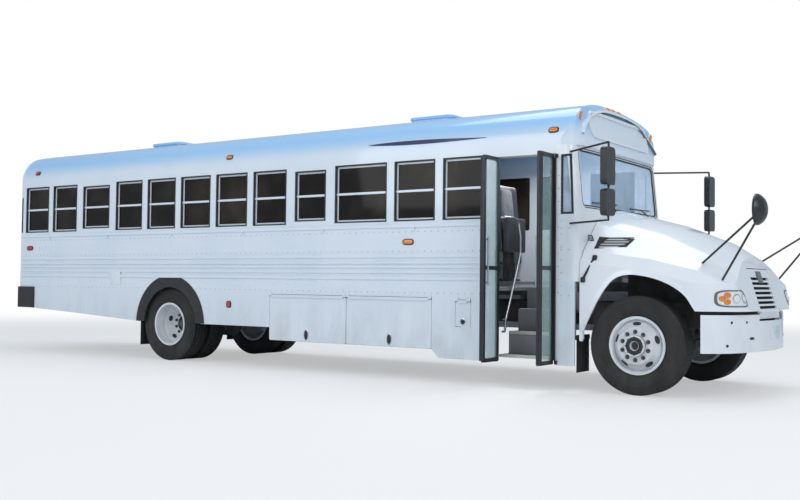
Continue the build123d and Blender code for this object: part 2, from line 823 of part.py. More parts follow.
# Hood and fenders. Sections: station, heights of the middle, the crease and the fender edge
hood_sections = [
    (-680.0, 2020.0, 1840.0, 1520.0),
    (130.0, 1805.0, 1595.0, 1408.0),
    (620.0, 1612.0, 1425.0, 1292.0),
    (1120.0, 1290.0, 1110.0, 1040.0),
]
fender_y = half_width - 30.0
fender_crease_y = fender_y - 80.0
hood_crease_y = fender_y - 390.0
hood_wall = 22.0
hood_base_z = 885.0
hood_nose_x = 1050.0
hood_rear_low_x = -615.0
fender_corner = (620.0, 1190.0)


def hood_form(inset):
    """The hood's form: a body of four sections, cut by its plan outline and its nose."""
    with BuildPart() as form:
        for station, top, crease, fender in hood_sections:
            drop = inset * 1.15
            with BuildSketch(cross_plane(station)):
                crease_y = hood_crease_y - inset / 2
                with BuildLine():
                    Polyline(
                        (crease_y, crease - drop),
                        (fender_crease_y - inset, fender - drop),
                        (fender_y - inset, fender - 130 - drop),
                        (fender_y - inset, skirt_z - 10),
                        (-fender_y + inset, skirt_z - 10),
                        (-fender_y + inset, fender - 130 - drop),
                        (-fender_crease_y + inset, fender - drop),
                        (-crease_y, crease - drop),
                    )
                    ThreePointArc((-crease_y, crease - drop), (0, top - drop), (crease_y, crease - drop))
                make_face()
        loft(ruled=True)
        with BuildSketch(plan_plane(0)):
            side = fender_y - inset
            nose = hood_nose_x - inset
            with BuildLine():
                front_y = fender_y - 470
                turn_y = fender_y - 180
                turn_x = 560 - inset / 2
                Polyline((nose, front_y), (nose, -front_y))
                ThreePointArc((nose, -front_y), (nose - 110, -turn_y), (turn_x, -side))
                Polyline((turn_x, -side), (-700, -side), (-700, side), (turn_x, side))
                ThreePointArc((turn_x, side), (nose - 110, turn_y), (nose, front_y))
            make_face()
        extrude(amount=2400, mode=Mode.INTERSECT)
        with BuildSketch(side_plane(fender_y + 10)):
            Polygon(
                (-700, skirt_z - 5),
                (300, skirt_z - 5),
                (hood_nose_x - inset, skirt_z - 5),
                (hood_nose_x - inset, hood_base_z),
                (hood_nose_x - 175 - inset, 1400),
                (hood_nose_x - 320 - inset, 2100),
                (-700, 2100),
                align=None,
            )
        extrude(amount=2 * fender_y + 20, mode=Mode.INTERSECT)
    return form.part


lamp_rear_x = 600.0
lamp_half_height = 80.0
lamp_middle_z = 1015.0
lamp_inner_y = fender_y - 390.0
lamp_outer_y = fender_y - 65.0
lamp_depth = 60.0


def lamp_outline(inset):
    """Draws both headlamps' outlines as seen from the front, moved inwards by inset."""
    for side in (-1, 1):
        with Locations((side * (lamp_inner_y + lamp_outer_y) / 2, lamp_middle_z)):
            RectangleRounded(
                lamp_outer_y - lamp_inner_y - 2 * inset, 2 * (lamp_half_height - inset), 35 - inset
            )


lamp_core = hood_form(lamp_depth)
hood_core = hood_form(hood_wall)
hood_shell = hood_form(0)
grille_half_width = 400.0
grille_low_z = 800.0
grille_high_z = 1330.0
with BuildPart() as hood:
    add(hood_shell)
    add(hood_core, mode=Mode.SUBTRACT)
    # Open below: the fenders end at the skirt's level behind the wheel and at the bumper before it
    block((-701, -fender_y - 20, skirt_z - 50), (hood_nose_x + 20, fender_y + 20, skirt_z), Mode.SUBTRACT)
    block((400, -fender_y - 20, skirt_z - 50), (hood_nose_x + 20, fender_y + 20, hood_base_z), Mode.SUBTRACT)
    # Wheel arches
    with BuildSketch(side_plane(fender_y + 20)):
        Polygon(
            (-580, skirt_z - 60),
            (-580, 640),
            (-360, 1080),
            (-170, 1270),
            (210, 1230),
            (510, 1080),
            (620, hood_base_z),
            (620, skirt_z - 60),
            align=None,
        )
    extrude(amount=2 * fender_y + 40, mode=Mode.SUBTRACT)
    # The rear edge stands clear of the cab, and of its own swing at the bottom
    with BuildSketch(plan_plane(0)):
        cab_plan(-cowl_gap, -1200, screen_x, cab_corner_radius)
    extrude(amount=2400, mode=Mode.SUBTRACT)
    with BuildSketch(side_plane(fender_y + 20)):
        Polygon(
            (-720, skirt_z - 60),
            (hood_rear_low_x, skirt_z - 60),
            (hood_rear_low_x, skirt_z),
            (-652, hood_base_z),
            (-652, 1300),
            (-720, 1300),
            align=None,
        )
    extrude(amount=2 * fender_y + 40, mode=Mode.SUBTRACT)
    # Headlamp pockets
    with BuildSketch(cross_plane(lamp_rear_x)):
        lamp_outline(0)
    extrude(amount=hood_nose_x, mode=Mode.SUBTRACT)
    # Hinge eyes under the nose
    for side in (-1, 1):
        for lug_y in (hood_hinge_y - hood_plate / 2 - 1 - hood_lug, hood_hinge_y + hood_plate / 2 + 1):
            with BuildSketch(slab_plane(side, lug_y + hood_lug, lug_y)):
                with Locations((hood_nose_x, hood_hinge_z)):
                    Circle(hood_eye_radius)
                with Locations((hood_nose_x - hood_wall / 2, (hood_hinge_z + hood_base_z + 8) / 2)):
                    Rectangle(hood_wall, hood_base_z + 8 - hood_hinge_z)
                with Locations((hood_nose_x, hood_hinge_z)):
                    Circle(hood_pin_radius + running_gap, mode=Mode.SUBTRACT)
            extrude(amount=hood_lug)
    # Grille opening
    block((600, -grille_half_width, hood_base_z - 1), (hood_nose_x + 60, grille_half_width, grille_high_z), Mode.SUBTRACT)
save(hood.part, "hood")
print("hood done")

# Grille: a surround that leans back with the nose, with level bars
grille_lean = atan2(175.0, 1400.0 - hood_base_z)
with BuildPart() as grille:
    with BuildSketch(side_plane(grille_half_width - seat_gap)):
        Polygon(
            (hood_nose_x - 8, grille_low_z),
            (hood_nose_x - 8, hood_base_z),
            (hood_nose_x - 8 - 145, grille_high_z - seat_gap),
            (hood_nose_x - 48 - 145, grille_high_z - seat_gap),
            (hood_nose_x - 48, hood_base_z),
            (hood_nose_x - 48, grille_low_z),
            align=None,
        )
    extrude(amount=2 * (grille_half_width - seat_gap))
save(grille.part, "grille")

# Headlamps, set in pockets through the hood's corners
with BuildPart() as headlamps:
    add(hood_shell)
    add(lamp_core, mode=Mode.SUBTRACT)
    with BuildSketch(cross_plane(lamp_rear_x)):
        lamp_outline(seat_gap)
    extrude(amount=hood_nose_x, mode=Mode.INTERSECT)
save(headlamps.part, "headlamps")

# Front bumper, curved in plan
bumper_x = 1090.0
bumper_wall = 8.0
bumper_low_z = 470.0
bumper_high_z = 850.0
notch_half_width = 460.0
rail_front_x = 980.0
def bumper_plan(inset):
    """Draws the bumper's plan, closed straight across its ends, moved inwards by inset."""
    nose = bumper_x - inset
    end = (bumper_x - 410.0, 1195.0 - inset)
    shoulder = (nose - 140, 880 - inset / 2)
    with BuildLine(mode=Mode.PRIVATE) as outline:
        ThreePointArc((shoulder[0], -shoulder[1]), (nose, 0), shoulder)
        ThreePointArc(shoulder, (nose - 230, 1050 - inset / 2), end)
        Line(end, (end[0], -end[1]))
        ThreePointArc((end[0], -end[1]), (nose - 230, -1050 + inset / 2), (shoulder[0], -shoulder[1]))
    make_face(outline.edges())


with BuildPart() as front_bumper:
    with BuildSketch(plan_plane(bumper_low_z)):
        bumper_plan(0)
    extrude(amount=bumper_high_z - bumper_low_z)
    with BuildSketch(plan_plane(bumper_low_z)):
        bumper_plan(bumper_wall)
    extrude(amount=bumper_high_z - bumper_low_z, mode=Mode.SUBTRACT)
    block(
        (bumper_x - 100, -notch_half_width, grille_low_z - 15),
        (bumper_x + 50, notch_half_width, bumper_high_z + 1),
        Mode.SUBTRACT,
    )
    for side in (-1, 1):
        bracket_y = side * (frame_half_width - rail_flange / 2)
        block(
            (rail_front_x + seat_gap, bracket_y - rail_flange / 2, bumper_low_z + 60),
            (bumper_x - 34, bracket_y + rail_flange / 2, grille_low_z - 40),
        )
save(front_bumper.part, "front_bumper")

# Rear bumper, wrapped round the corners
tail_bumper_low_z = 680.0
tail_bumper_high_z = 1010.0
with BuildPart() as rear_bumper:
    with BuildSketch(plan_plane(tail_bumper_low_z)):
        Polygon(
            (back_x + 380, half_width + 18),
            (back_x - 30, half_width + 18),
            (back_x - rear_bumper_depth, half_width - 60),
            (back_x - rear_bumper_depth, -half_width + 60),
            (back_x - 30, -half_width - 18),
            (back_x + 380, -half_width - 18),
            (back_x + 380, -half_width - 0.5),
            (back_x - 0.5, -half_width - 0.5),
            (back_x - 0.5, half_width + 0.5),
            (back_x + 380, half_width + 0.5),
            align=None,
        )
    extrude(amount=tail_bumper_high_z - tail_bumper_low_z)
save(rear_bumper.part, "rear_bumper")

# Leaf springs and the axles' seats for them
beam_top_z = hub_z - 10
axle_tube = 75.0
spring_width = 70.0
spring_depth = 50.0
spring_half = 560.0
spring_tip = 12.0
rear_spring_y = frame_half_width + spring_width / 2 + 12

# Chassis frame: two channel rails and their crossmembers
rail_rear_x = back_x + 60.0
with BuildPart() as chassis_frame:
    for side in (-1, 1):
        plate_y = hood_hinge_y + hood_plate / 2
        with BuildSketch(slab_plane(side, plate_y, plate_y - hood_plate)):
            Polygon(
                (rail_front_x - 120, rail_bottom_z + 60),
                (hood_nose_x, hood_hinge_z - hood_eye_radius),
                (hood_nose_x, hood_hinge_z + hood_eye_radius),
                (rail_front_x - 120, hood_hinge_z + hood_eye_radius),
                align=None,
            )
            with Locations((hood_nose_x, hood_hinge_z)):
                Circle(hood_eye_radius)
        extrude(amount=hood_plate)
        pin_reach = hood_hinge_y + hood_plate / 2 + hood_lug + 3
        pin_length = hood_plate + 2 * hood_lug + 6
        with BuildSketch(slab_plane(side, pin_reach, pin_reach - pin_length)):
            with Locations((hood_nose_x, hood_hinge_z)):
                Circle(hood_pin_radius)
        extrude(amount=pin_length)
    for side in (-1, 1):
        with BuildSketch(cross_plane(rail_rear_x)):
            with Locations((side * (frame_half_width - rail_flange / 2), (rail_top_z + rail_bottom_z) / 2)):
                Rectangle(rail_flange, rail_height)
            with Locations(
                (side * (frame_half_width - rail_flange / 2 - rail_plate), (rail_top_z + rail_bottom_z) / 2)
            ):
                Rectangle(rail_flange, rail_height - 2 * rail_plate, mode=Mode.SUBTRACT)
        extrude(amount=rail_front_x - rail_rear_x)
    for member_x, low_z in (
        (820, 700),
        (-300, 700),
        (-1900, 870),
        (-3500, 870),
        (-5200, 870),
        (rear_axle_x - 700, 870),
        (rear_axle_x - 1900, 870),
        (rail_rear_x + 40, 700),
    ):
        block(
            (member_x - 40, -frame_half_width + rail_plate, low_z),
            (member_x + 40, frame_half_width - rail_plate, low_z + 60),
        )
    # Hangers of the rear springs
    for side in (-1, 1):
        near_y = side * (frame_half_width - 1)
        far_y = side * (rear_spring_y + spring_width / 2)
        for hanger_x in (rear_axle_x - spring_half + 30, rear_axle_x + spring_half - 30):
            block(
                (hanger_x - 30, min(near_y, far_y), rail_bottom_z),
                (hanger_x + 30, max(near_y, far_y), rail_bottom_z + 70),
            )
save(chassis_frame.part, "chassis_frame")

with BuildPart() as engine:
    block((-420, -330, 760), (560, 330, 1480))
save(engine.part, "engine")

with BuildPart() as radiator:
    block((700, -340, 760), (800, 340, 1300))
save(radiator.part, "radiator")

# Floor with the entry well cut out, on sills that stand on the frame rails
with BuildPart() as floor:
    with BuildSketch(plan_plane(floor_bottom_z)):
        Polygon(
            (back_x + wall, -half_width + wall),
            (door_rear_x, -half_width + wall),
            (door_rear_x, -well_y),
            (door_front_x, -well_y),
            (door_front_x, -half_width + wall),
            (skirt_front_x - 20, -half_width + wall),
            (skirt_front_x - 20, half_width - wall),
            (back_x + wall, half_width - wall),
            align=None,
        )
    extrude(amount=floor_wall)
    block(
        (skirt_front_x - 20, -half_width + wall, floor_bottom_z),
        (skirt_front_x, half_width - wall, waist_z),
    )
    for sill_x in sill_stations:
        reach = half_width - wall
        if abs(sill_x - rear_axle_x) < tyre_room + sill_width:
            reach = outer_tyre_y - dual_spacing - tyre_width / 2 - 30
        block(
            (sill_x - sill_width / 2, -reach, sill_low_z),
            (sill_x + sill_width / 2, reach, floor_bottom_z + 1),
        )
        for side in (-1, 1):
            pad_y = side * (frame_half_width - rail_flange / 2)
            block(
                (sill_x - sill_width / 2, pad_y - rail_flange / 2, rail_top_z),
                (sill_x + sill_width / 2, pad_y + rail_flange / 2, sill_low_z + 1),
            )
save(floor.part, "floor")

# Entry steps
with BuildPart() as entry_steps:
    with BuildSketch(cross_plane(door_rear_x + 3)):
        with BuildLine():
            top = []
            for step in range(step_count):
                tread_z = floor_z - (step_count - step) * step_rise
                top.append((-step_face_y + step * step_run, tread_z))
                top.append((-step_face_y + (step + 1) * step_run, tread_z))
            top.append((-step_face_y + step_count * step_run, floor_bottom_z))
            low = [(y - 0 + step_wall, z - step_wall) for y, z in top]
            low[0] = (top[0][0], top[0][1] - step_wall)
            low[-1] = (top[-1][0] + step_wall, floor_bottom_z)
            Polyline(*top, *reversed(low), close=True)
        make_face()
    extrude(amount=door_opening - 6)
save(entry_steps.part, "entry_steps")

# Seats
seat_profile = [(0, 0), (0, 450), (480, 420), (480, 330), (70, 330), (70, 0)]
with BuildPart() as passenger_seats:
    for side in (-1, 1):
        with BuildSketch(slab_plane(side, half_width - wall - 15, half_width - wall - 15 - 900)):
            for row in range(11):
                seat_x = back_x + 350 + row * 700
                Polygon(
                    (seat_x, floor_z),
                    (seat_x - 60, floor_z + 1080),
                    (seat_x + 20, floor_z + 1080),
                    (seat_x + 100, floor_z + 450),
                    (seat_x + 480, floor_z + 470),
                    (seat_x + 480, floor_z + 340),
                    (seat_x + 80, floor_z + 320),
                    (seat_x + 80, floor_z),
                    align=None,
                )
        extrude(amount=900)
save(passenger_seats.part, "passenger_seats")

driver_y = half_width - 600.0
with BuildPart() as driver_seat:
    with BuildSketch(side_plane(driver_y + 240)):
        Polygon(
            (-1650, floor_z),
            (-1650, floor_z + 400),
            (-1760, floor_z + 1150),
            (-1650, floor_z + 1160),
            (-1560, floor_z + 560),
            (-1130, floor_z + 560),
            (-1110, floor_z + 430),
            (-1230, floor_z + 400),
            (-1230, floor_z),
            align=None,
        )
    extrude(amount=480)
save(driver_seat.part, "driver_seat")

# Dashboard, and the steering wheel on the column that passes through it
wheel_centre = (-980.0, 1850.0)
column_lean = 35.0
column_radius = 30.0
column_plane = Plane(
    origin=(front_axle_x + wheel_centre[0], driver_y, wheel_centre[1]),
    x_dir=(0, 1, 0),
    z_dir=(-sin(radians(column_lean)), 0, cos(radians(column_lean))),
)
dash_room = cab_form(cab_wall + seat_gap, waist_z, door_rear_x)
with BuildPart() as dashboard:
    with BuildSketch(side_plane(half_width - wall - seat_gap)):
        Polygon(
            (screen_x, floor_z + 350),
            (screen_x, screen_bend_z - 10),
            (screen_x - 200, screen_bend_z),
            (screen_x - 330, screen_bend_z - 100),
            (screen_x - 260, floor_z + 350),
            align=None,
        )
    extrude(amount=half_width - wall + 400)
    add(dash_room, mode=Mode.INTERSECT)
    with BuildSketch(column_plane.offset(-900)):
        Circle(column_radius + seat_gap)
    extrude(amount=900, mode=Mode.SUBTRACT)
save(dashboard.part, "dashboard")

with BuildPart() as steering_wheel:
    hub = column_plane
    with BuildSketch(hub.offset(-12)):
        Circle(240)
        Circle(205, mode=Mode.SUBTRACT)
        Rectangle(430, 40)
        Circle(70)
    extrude(amount=24)
    with BuildSketch(hub.offset(-420)):
        Circle(column_radius)
    extrude(amount=420)
save(steering_wheel.part, "steering_wheel")

# Front axle beam with kingpin bosses
boss_radius = 48.0
boss_half = 75.0
beam_depth = 100.0
with BuildPart() as front_axle:
    with BuildSketch(cross_plane(-beam_depth / 2)):
        Polygon(
            (-kingpin_y, hub_z - 55),
            (-620, hub_z - 120),
            (620, hub_z - 120),
            (kingpin_y, hub_z - 55),
            (kingpin_y, hub_z + 55),
            (560, hub_z - 10),
            (-560, hub_z - 10),
            (-kingpin_y, hub_z + 55),
            align=None,
        )
    extrude(amount=beam_depth)
    with BuildSketch(plan_plane(hub_z - boss_half)):
        with Locations((0, kingpin_y), (0, -kingpin_y)):
            Circle(boss_radius)
    extrude(amount=2 * boss_half)
    with BuildSketch(plan_plane(hub_z - boss_half)):
        with Locations((0, kingpin_y), (0, -kingpin_y)):
            Circle(kingpin_radius + running_gap)
    extrude(amount=2 * boss_half, mode=Mode.SUBTRACT)
save(front_axle.part, "front_axle")

# Knuckles with fork, kingpin, spindle and steering arm
ear = 30.0
for side, name in ((-1, "right"), (1, "left")):
    pin_y = side * kingpin_y
    with BuildPart() as knuckle:
        with BuildSketch(plan_plane(hub_z - boss_half - running_gap - ear)):
            with Locations((0, pin_y)):
                Circle(kingpin_radius)
        extrude(amount=2 * (boss_half + running_gap + ear))
        for low_z in (hub_z - boss_half - running_gap - ear, hub_z + boss_half + running_gap):
            with BuildSketch(plan_plane(low_z)):
                with Locations((0, pin_y)):
                    Circle(boss_radius)
                with Locations((0, pin_y + side * 50)):
                    Rectangle(90, 60)
            extrude(amount=ear)
        block(
            (-45, min(pin_y + side * 56, pin_y + side * 80), hub_z - boss_half - running_gap - ear),
            (45, max(pin_y + side * 56, pin_y + side * 80), hub_z + boss_half + running_gap + ear),
        )
        spindle_plane = side_plane(max(pin_y + side * 80, pin_y + side * 300))
        with BuildSketch(spindle_plane):
            with Locations((0, hub_z)):
                Circle(spindle_radius)
        extrude(amount=220)
        arm_z = hub_z - boss_half - running_gap - ear
        block((-steering_arm - 18, pin_y - 14, arm_z), (-20, pin_y + 10, arm_z + ear))
    save(knuckle.part, f"knuckle_{name}")

# Tie rod under the steering arms
tie_rod_radius = 15.0
with BuildPart() as tie_rod:
    with BuildSketch(side_plane(kingpin_y + 12)):
        with Locations((-steering_arm, arm_z - tie_rod_radius - running_gap)):
            Circle(tie_rod_radius)
    extrude(amount=2 * kingpin_y + 24)
save(tie_rod.part, "tie_rod")

# Rear axle housing
with BuildPart() as rear_axle:
    with BuildSketch(side_plane(outer_tyre_y - disc_offset + 60)):
        with Locations((rear_axle_x, hub_z)):
            Circle(spindle_radius)
    extrude(amount=2 * (outer_tyre_y - disc_offset + 60))
    with BuildSketch(side_plane(530)):
        with Locations((rear_axle_x, hub_z)):
            Circle(75)
    extrude(amount=1060)
    with BuildSketch(cross_plane(rear_axle_x - 130)):
        with Locations((0, hub_z)):
            Circle(200)
    extrude(amount=260)
save(rear_axle.part, "rear_axle")


def spun(profile, y, station, side):
    """Turns a half-section of radius and outward distance about a wheel's own axle line."""
    section_plane = Plane(
        origin=(front_axle_x + station, 0, hub_z), x_dir=(0, 0, 1), z_dir=(1, 0, 0)
    )
    with BuildSketch(section_plane, mode=Mode.PRIVATE) as section:
        Polygon(*[(radius, -(y + side * out)) for radius, out in profile], align=None)
    revolve(section.sketch, axis=Axis((front_axle_x + station, 0, hub_z), (0, 1, 0)))


# Half-sections: radius, and distance outward from the tyre's middle
half_tread = tyre_width / 2 - 22
tyre_section = [
    (rim_radius + seat_gap, -rim_half_width + 13),
    (rim_radius + rim_lip + seat_gap, -rim_half_width + 5),
    (rim_radius + rim_lip + 2, -tyre_width / 2 + 14),
    (rim_radius + 110, -tyre_width / 2),
    (tyre_radius - 35, -tyre_width / 2 + 6),
    (tyre_radius - 6, -half_tread),
    (tyre_radius, -half_tread + 40),
    (tyre_radius, half_tread - 40),
    (tyre_radius - 6, half_tread),
    (tyre_radius - 35, tyre_width / 2 - 6),
    (rim_radius + 110, tyre_width / 2),
    (rim_radius + rim_lip + 2, tyre_width / 2 - 14),
    (rim_radius + rim_lip + seat_gap, rim_half_width - 5),
    (rim_radius + seat_gap, rim_half_width - 13),
]
hub_bore = spindle_radius + running_gap
face = disc_offset
rim_section = [
    (rim_radius, -rim_half_width + 12 - seat_gap),
    (rim_radius + rim_lip, -rim_half_width + 4),
    (rim_radius + rim_lip, -rim_half_width - 4),
    (rim_radius - rim_plate, -rim_half_width),
    (rim_radius - rim_plate, 40),
    (190, face - 18),
    (120, face - 14),
    (120, 30),
    (hub_bore, 30),
    (hub_bore, face + 30),
    (110, face + 30),
    (110, face),
    (190, face),
    (rim_radius - rim_plate - 14, 70),
    (rim_radius - rim_plate, rim_half_width),
    (rim_radius + rim_lip, rim_half_width + 4),
    (rim_radius + rim_lip, rim_half_width - 4),
    (rim_radius, rim_half_width - 12 + seat_gap),
]
for side, side_name in ((-1, "right"), (1, "left")):
    with BuildPart() as front_tyre:
        spun(tyre_section, side * front_tyre_y, 0, side)
    save(front_tyre.part, f"tyre_front_{side_name}")
    with BuildPart() as front_rim:
        spun(rim_section, side * front_tyre_y, 0, side)
    save(front_rim.part, f"rim_front_{side_name}")
    inner_y = outer_tyre_y - dual_spacing
    with BuildPart() as rear_tyres:
        spun(tyre_section, side * outer_tyre_y, rear_axle_x, side)
        spun(tyre_section, side * inner_y, rear_axle_x, side)
    save(rear_tyres.part, f"tyres_rear_{side_name}")
    with BuildPart() as rear_rims:
        outer_section = [(radius, -out) for radius, out in rim_section[:6]]
        outer_section += [(hub_bore, -(face - 14)), (hub_bore, -face - 0)]
        outer_section += [(radius, -out) for radius, out in rim_section[12:]]
        inner_section = [(radius, out) for radius, out in rim_section[:6]]
        inner_section += [(hub_bore, face - 14), (hub_bore, face)]
        inner_section += [(radius, out) for radius, out in rim_section[12:]]
        spun(outer_section, side * outer_tyre_y, rear_axle_x, side)
        spun(inner_section, side * inner_y, rear_axle_x, side)
    save(rear_rims.part, f"rims_rear_{side_name}")
print("wheels done")

# Leaf springs: station of the middle, distance out, height of the seat on the axle
spring_rows = [
    (0.0, frame_half_width - rail_flange / 2, beam_top_z + seat_gap),
    (rear_axle_x, rear_spring_y, hub_z + axle_tube + seat_gap),
]
with BuildPart() as leaf_springs:
    for station, spring_y, seat_z in spring_rows:
        for side in (-1, 1):
            with BuildSketch(side_plane(side * spring_y + spring_width / 2)):
                with BuildLine():
                    end_z = rail_bottom_z - seat_gap
                    ThreePointArc(
                        (station - spring_half, end_z),
                        (station, seat_z + spring_depth),
                        (station + spring_half, end_z),
                    )
                    Line((station + spring_half, end_z), (station + spring_half, end_z - spring_tip))
                    ThreePointArc(
                        (station + spring_half, end_z - spring_tip),
                        (station, seat_z),
                        (station - spring_half, end_z - spring_tip),
                    )
                    Line((station - spring_half, end_z - spring_tip), (station - spring_half, end_z))
                make_face()
            extrude(amount=spring_width)
save(leaf_springs.part, "leaf_springs")

# Round mirrors on rods from the fenders, and stacked mirrors on arms beside the screen
cross_mirror_radius = 150.0
cross_mirror_y = fender_y + 110.0
cross_mirror_z = 1870.0
rod_radius = 11.0


def rod(start, end, radius):
    """Adds a straight round rod between two points given as station, left and height."""
    way = Vector(*end) - Vector(*start)
    foot = Plane(origin=(front_axle_x + start[0], start[1], start[2]), z_dir=way)
    with BuildSketch(foot, mode=Mode.PRIVATE) as section:
        Circle(radius)
    extrude(section.sketch, amount=way.length)


hood_skin = hood_form(-seat_gap)
with BuildPart() as crossview_mirrors:
    head_x = mirror_reach - 70
    for side in (-1, 1):
        rod(
            (800, side * (fender_y - 180), 1130),
            (head_x, side * cross_mirror_y, cross_mirror_z - 60),
            rod_radius,
        )
        rod(
            (560, side * (fender_y - 290), 1330),
            (head_x, side * cross_mirror_y, cross_mirror_z - 20),
            rod_radius,
        )
    add(hood_skin, mode=Mode.SUBTRACT)
    for side in (-1, 1):
        with BuildSketch(side_plane(side * cross_mirror_y)):
            with BuildLine():
                rim_z = cross_mirror_z + cross_mirror_radius
                Line((head_x - 30, cross_mirror_z), (head_x + 70, cross_mirror_z))
                ThreePointArc(
                    (head_x + 70, cross_mirror_z),
                    (head_x + 50, cross_mirror_z + 0.65 * cross_mirror_radius),
                    (head_x - 10, rim_z),
                )
                Line((head_x - 10, rim_z), (head_x - 30, rim_z))
                Line((head_x - 30, rim_z), (head_x - 30, cross_mirror_z))
            make_face()
        revolve(axis=Axis((front_axle_x, side * cross_mirror_y, cross_mirror_z), (1, 0, 0)))
save(crossview_mirrors.part, "crossview_mirrors")

view_mirror_x = -120.0
view_mirror_y = half_width + 380.0
view_mirror_half = 110.0
view_mirror_depth = 70.0
view_heads = [(wall_top_z - 500, wall_top_z - 120), (wall_top_z - 810, wall_top_z - 540)]
arm_heights = [(wall_top_z - 80, wall_top_z - 65), (wall_top_z - 850, wall_top_z - 850)]
with BuildPart() as view_mirrors:
    for side in (-1, 1):
        rod(
            (view_mirror_x, side * view_mirror_y, arm_heights[1][1]),
            (view_mirror_x, side * view_mirror_y, arm_heights[0][1]),
            rod_radius,
        )
        for foot_z, head_z in arm_heights:
            rod((-720, side * (half_width - 10), foot_z), (view_mirror_x, side * view_mirror_y, head_z), rod_radius)
        for low_z, high_z in view_heads:
            with BuildSketch(cross_plane(view_mirror_x - view_mirror_depth / 2)):
                with Locations((side * (view_mirror_y + 20), (low_z + high_z) / 2)):
                    RectangleRounded(2 * view_mirror_half, high_z - low_z, 45)
            extrude(amount=view_mirror_depth)
    block((-900, -half_width, 1500), (-500, half_width, 2700), mode=Mode.SUBTRACT)
save(view_mirrors.part, "view_mirrors")
print("done")
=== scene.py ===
"""Looks of a white bonneted coach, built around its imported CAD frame, in metres.

+X points forward, +Y to the driver's side and +Z up. A station is a distance forward of the front
axle, so that the sizes here read as they do in the part's source.
"""

import logging
import math
from dataclasses import dataclass
from enum import Enum
from typing import Sequence

import bmesh
import bpy
from mathutils import Matrix, Vector
from mathutils.bvhtree import BVHTree


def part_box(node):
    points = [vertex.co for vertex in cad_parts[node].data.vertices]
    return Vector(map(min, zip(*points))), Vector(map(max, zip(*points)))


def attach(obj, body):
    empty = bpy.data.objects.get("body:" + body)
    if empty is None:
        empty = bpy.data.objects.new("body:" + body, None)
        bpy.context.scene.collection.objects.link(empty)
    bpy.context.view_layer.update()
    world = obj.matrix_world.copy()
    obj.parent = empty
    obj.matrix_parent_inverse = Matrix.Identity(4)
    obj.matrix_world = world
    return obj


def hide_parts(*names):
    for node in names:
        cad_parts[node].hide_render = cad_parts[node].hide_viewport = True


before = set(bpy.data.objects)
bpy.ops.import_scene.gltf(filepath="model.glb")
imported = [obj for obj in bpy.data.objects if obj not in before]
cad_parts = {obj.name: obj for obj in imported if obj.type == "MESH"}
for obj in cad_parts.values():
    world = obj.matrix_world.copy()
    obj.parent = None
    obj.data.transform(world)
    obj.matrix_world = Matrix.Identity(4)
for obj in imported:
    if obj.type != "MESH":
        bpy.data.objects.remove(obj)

LOG = logging.getLogger("coach")
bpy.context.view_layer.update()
Colour = tuple[float, float, float]
Point = tuple[float, float, float]
Line = Sequence[tuple[float, float]]
Spot = tuple[Vector, Vector]


def node_centre(node: str) -> Vector:
    """Finds the middle of a CAD node's box.

    Args:
        node: The CAD node's name.

    Returns:
        The middle of its box in the row frame.
    """
    low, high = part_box(node)
    return (low + high) / 2


AXLE_X = node_centre("tyre_front_right").x
REAR_AXLE = node_centre("tyres_rear_right").x - AXLE_X
HUB_Z = node_centre("tyre_front_right").z
HALF_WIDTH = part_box("left_skirt")[1].y
SUNK = 0.003
WELD = 0.00002
SHARP = math.radians(35)


def at(station: float, left: float, up: float) -> Vector:
    """Turns a place given from the front axle into a point of the row frame.

    Args:
        station: Its distance forward of the front axle.
        left: Its distance left of the middle.
        up: Its height above the road.

    Returns:
        The point.
    """
    return Vector((AXLE_X + station, left, up))


def oval(count: int, square: float) -> list[tuple[float, float]]:
    """Draws an oval or squarish outline whose half-width and half-height are 1.

    Args:
        count: How many corners it has.
        square: 1 for an oval, near 0 for a rectangle.

    Returns:
        The place across and up of each corner.
    """
    turns = [(math.cos(math.tau * i / count), math.sin(math.tau * i / count)) for i in range(count)]
    return [
        (math.copysign(abs(wide) ** square, wide), math.copysign(abs(high) ** square, high))
        for wide, high in turns
    ]


def rounded(half: float, low: float, high: float, corner: float, grow: float) -> list[tuple[float, float]]:
    """Draws an upright rectangle with round corners, grown all round.

    Args:
        half: Half its width.
        low: Its lower edge.
        high: Its upper edge.
        corner: The radius of its corners.
        grow: How far the outline stands outside it.

    Returns:
        Distance left and height of each corner.
    """
    points = []
    for i in range(4):
        left = (half - corner) * (1 if i in (0, 3) else -1)
        up = high - corner if i in (0, 1) else low + corner
        for j in range(7):
            angle = math.pi / 2 * i + math.pi / 2 * j / 6
            points.append(
                (left + math.cos(angle) * (corner + grow), up + math.sin(angle) * (corner + grow))
            )
        if i % 2 == 0:
            rise = high + grow if i == 0 else low - grow
            points += [(left - 2 * left * j / 8, rise) for j in range(1, 8)]
    return points


def softened(corners: Line, rounds: int = 3) -> list[tuple[float, ...]]:
    """Cuts the corners of an open line again and again until it runs smoothly.

    Args:
        corners: The line's corners.
        rounds: How many times they are cut.

    Returns:
        The points of the smooth line.
    """
    points = list(corners)
    for _ in range(rounds):
        cut = [points[0]]
        for first, second in zip(points, points[1:]):
            for share in (0.25, 0.75):
                cut.append(tuple(a + (b - a) * share for a, b in zip(first, second)))
        points = cut + [points[-1]]
    return points


def linked(name: str, data: bpy.types.ID) -> bpy.types.Object:
    """Makes an object and links it to the scene.

    Args:
        name: Its name.
        data: Its mesh, camera or lamp.

    Returns:
        The object.
    """
    made = bpy.data.objects.new(name, data)
    bpy.context.scene.collection.objects.link(made)
    return made


class Side(Enum):
    """The two sides of the coach, by the sign of Y."""

    RIGHT = -1
    LEFT = 1


class Slot(Enum):
    """Material slot names; each piece built here is handed one, which Form.done does not use."""

    BODY = "body_paint"
    TYRE = "tyre_rubber"
    WHEEL = "wheel_paint"
    BLACK = "black_metal"
    CHASSIS = "chassis_paint"
    FLOOR = "floor_grey"
    SEAT = "seat_black"
    GRILLE = "grille_paint"
    LAMP = "lamp_clear"


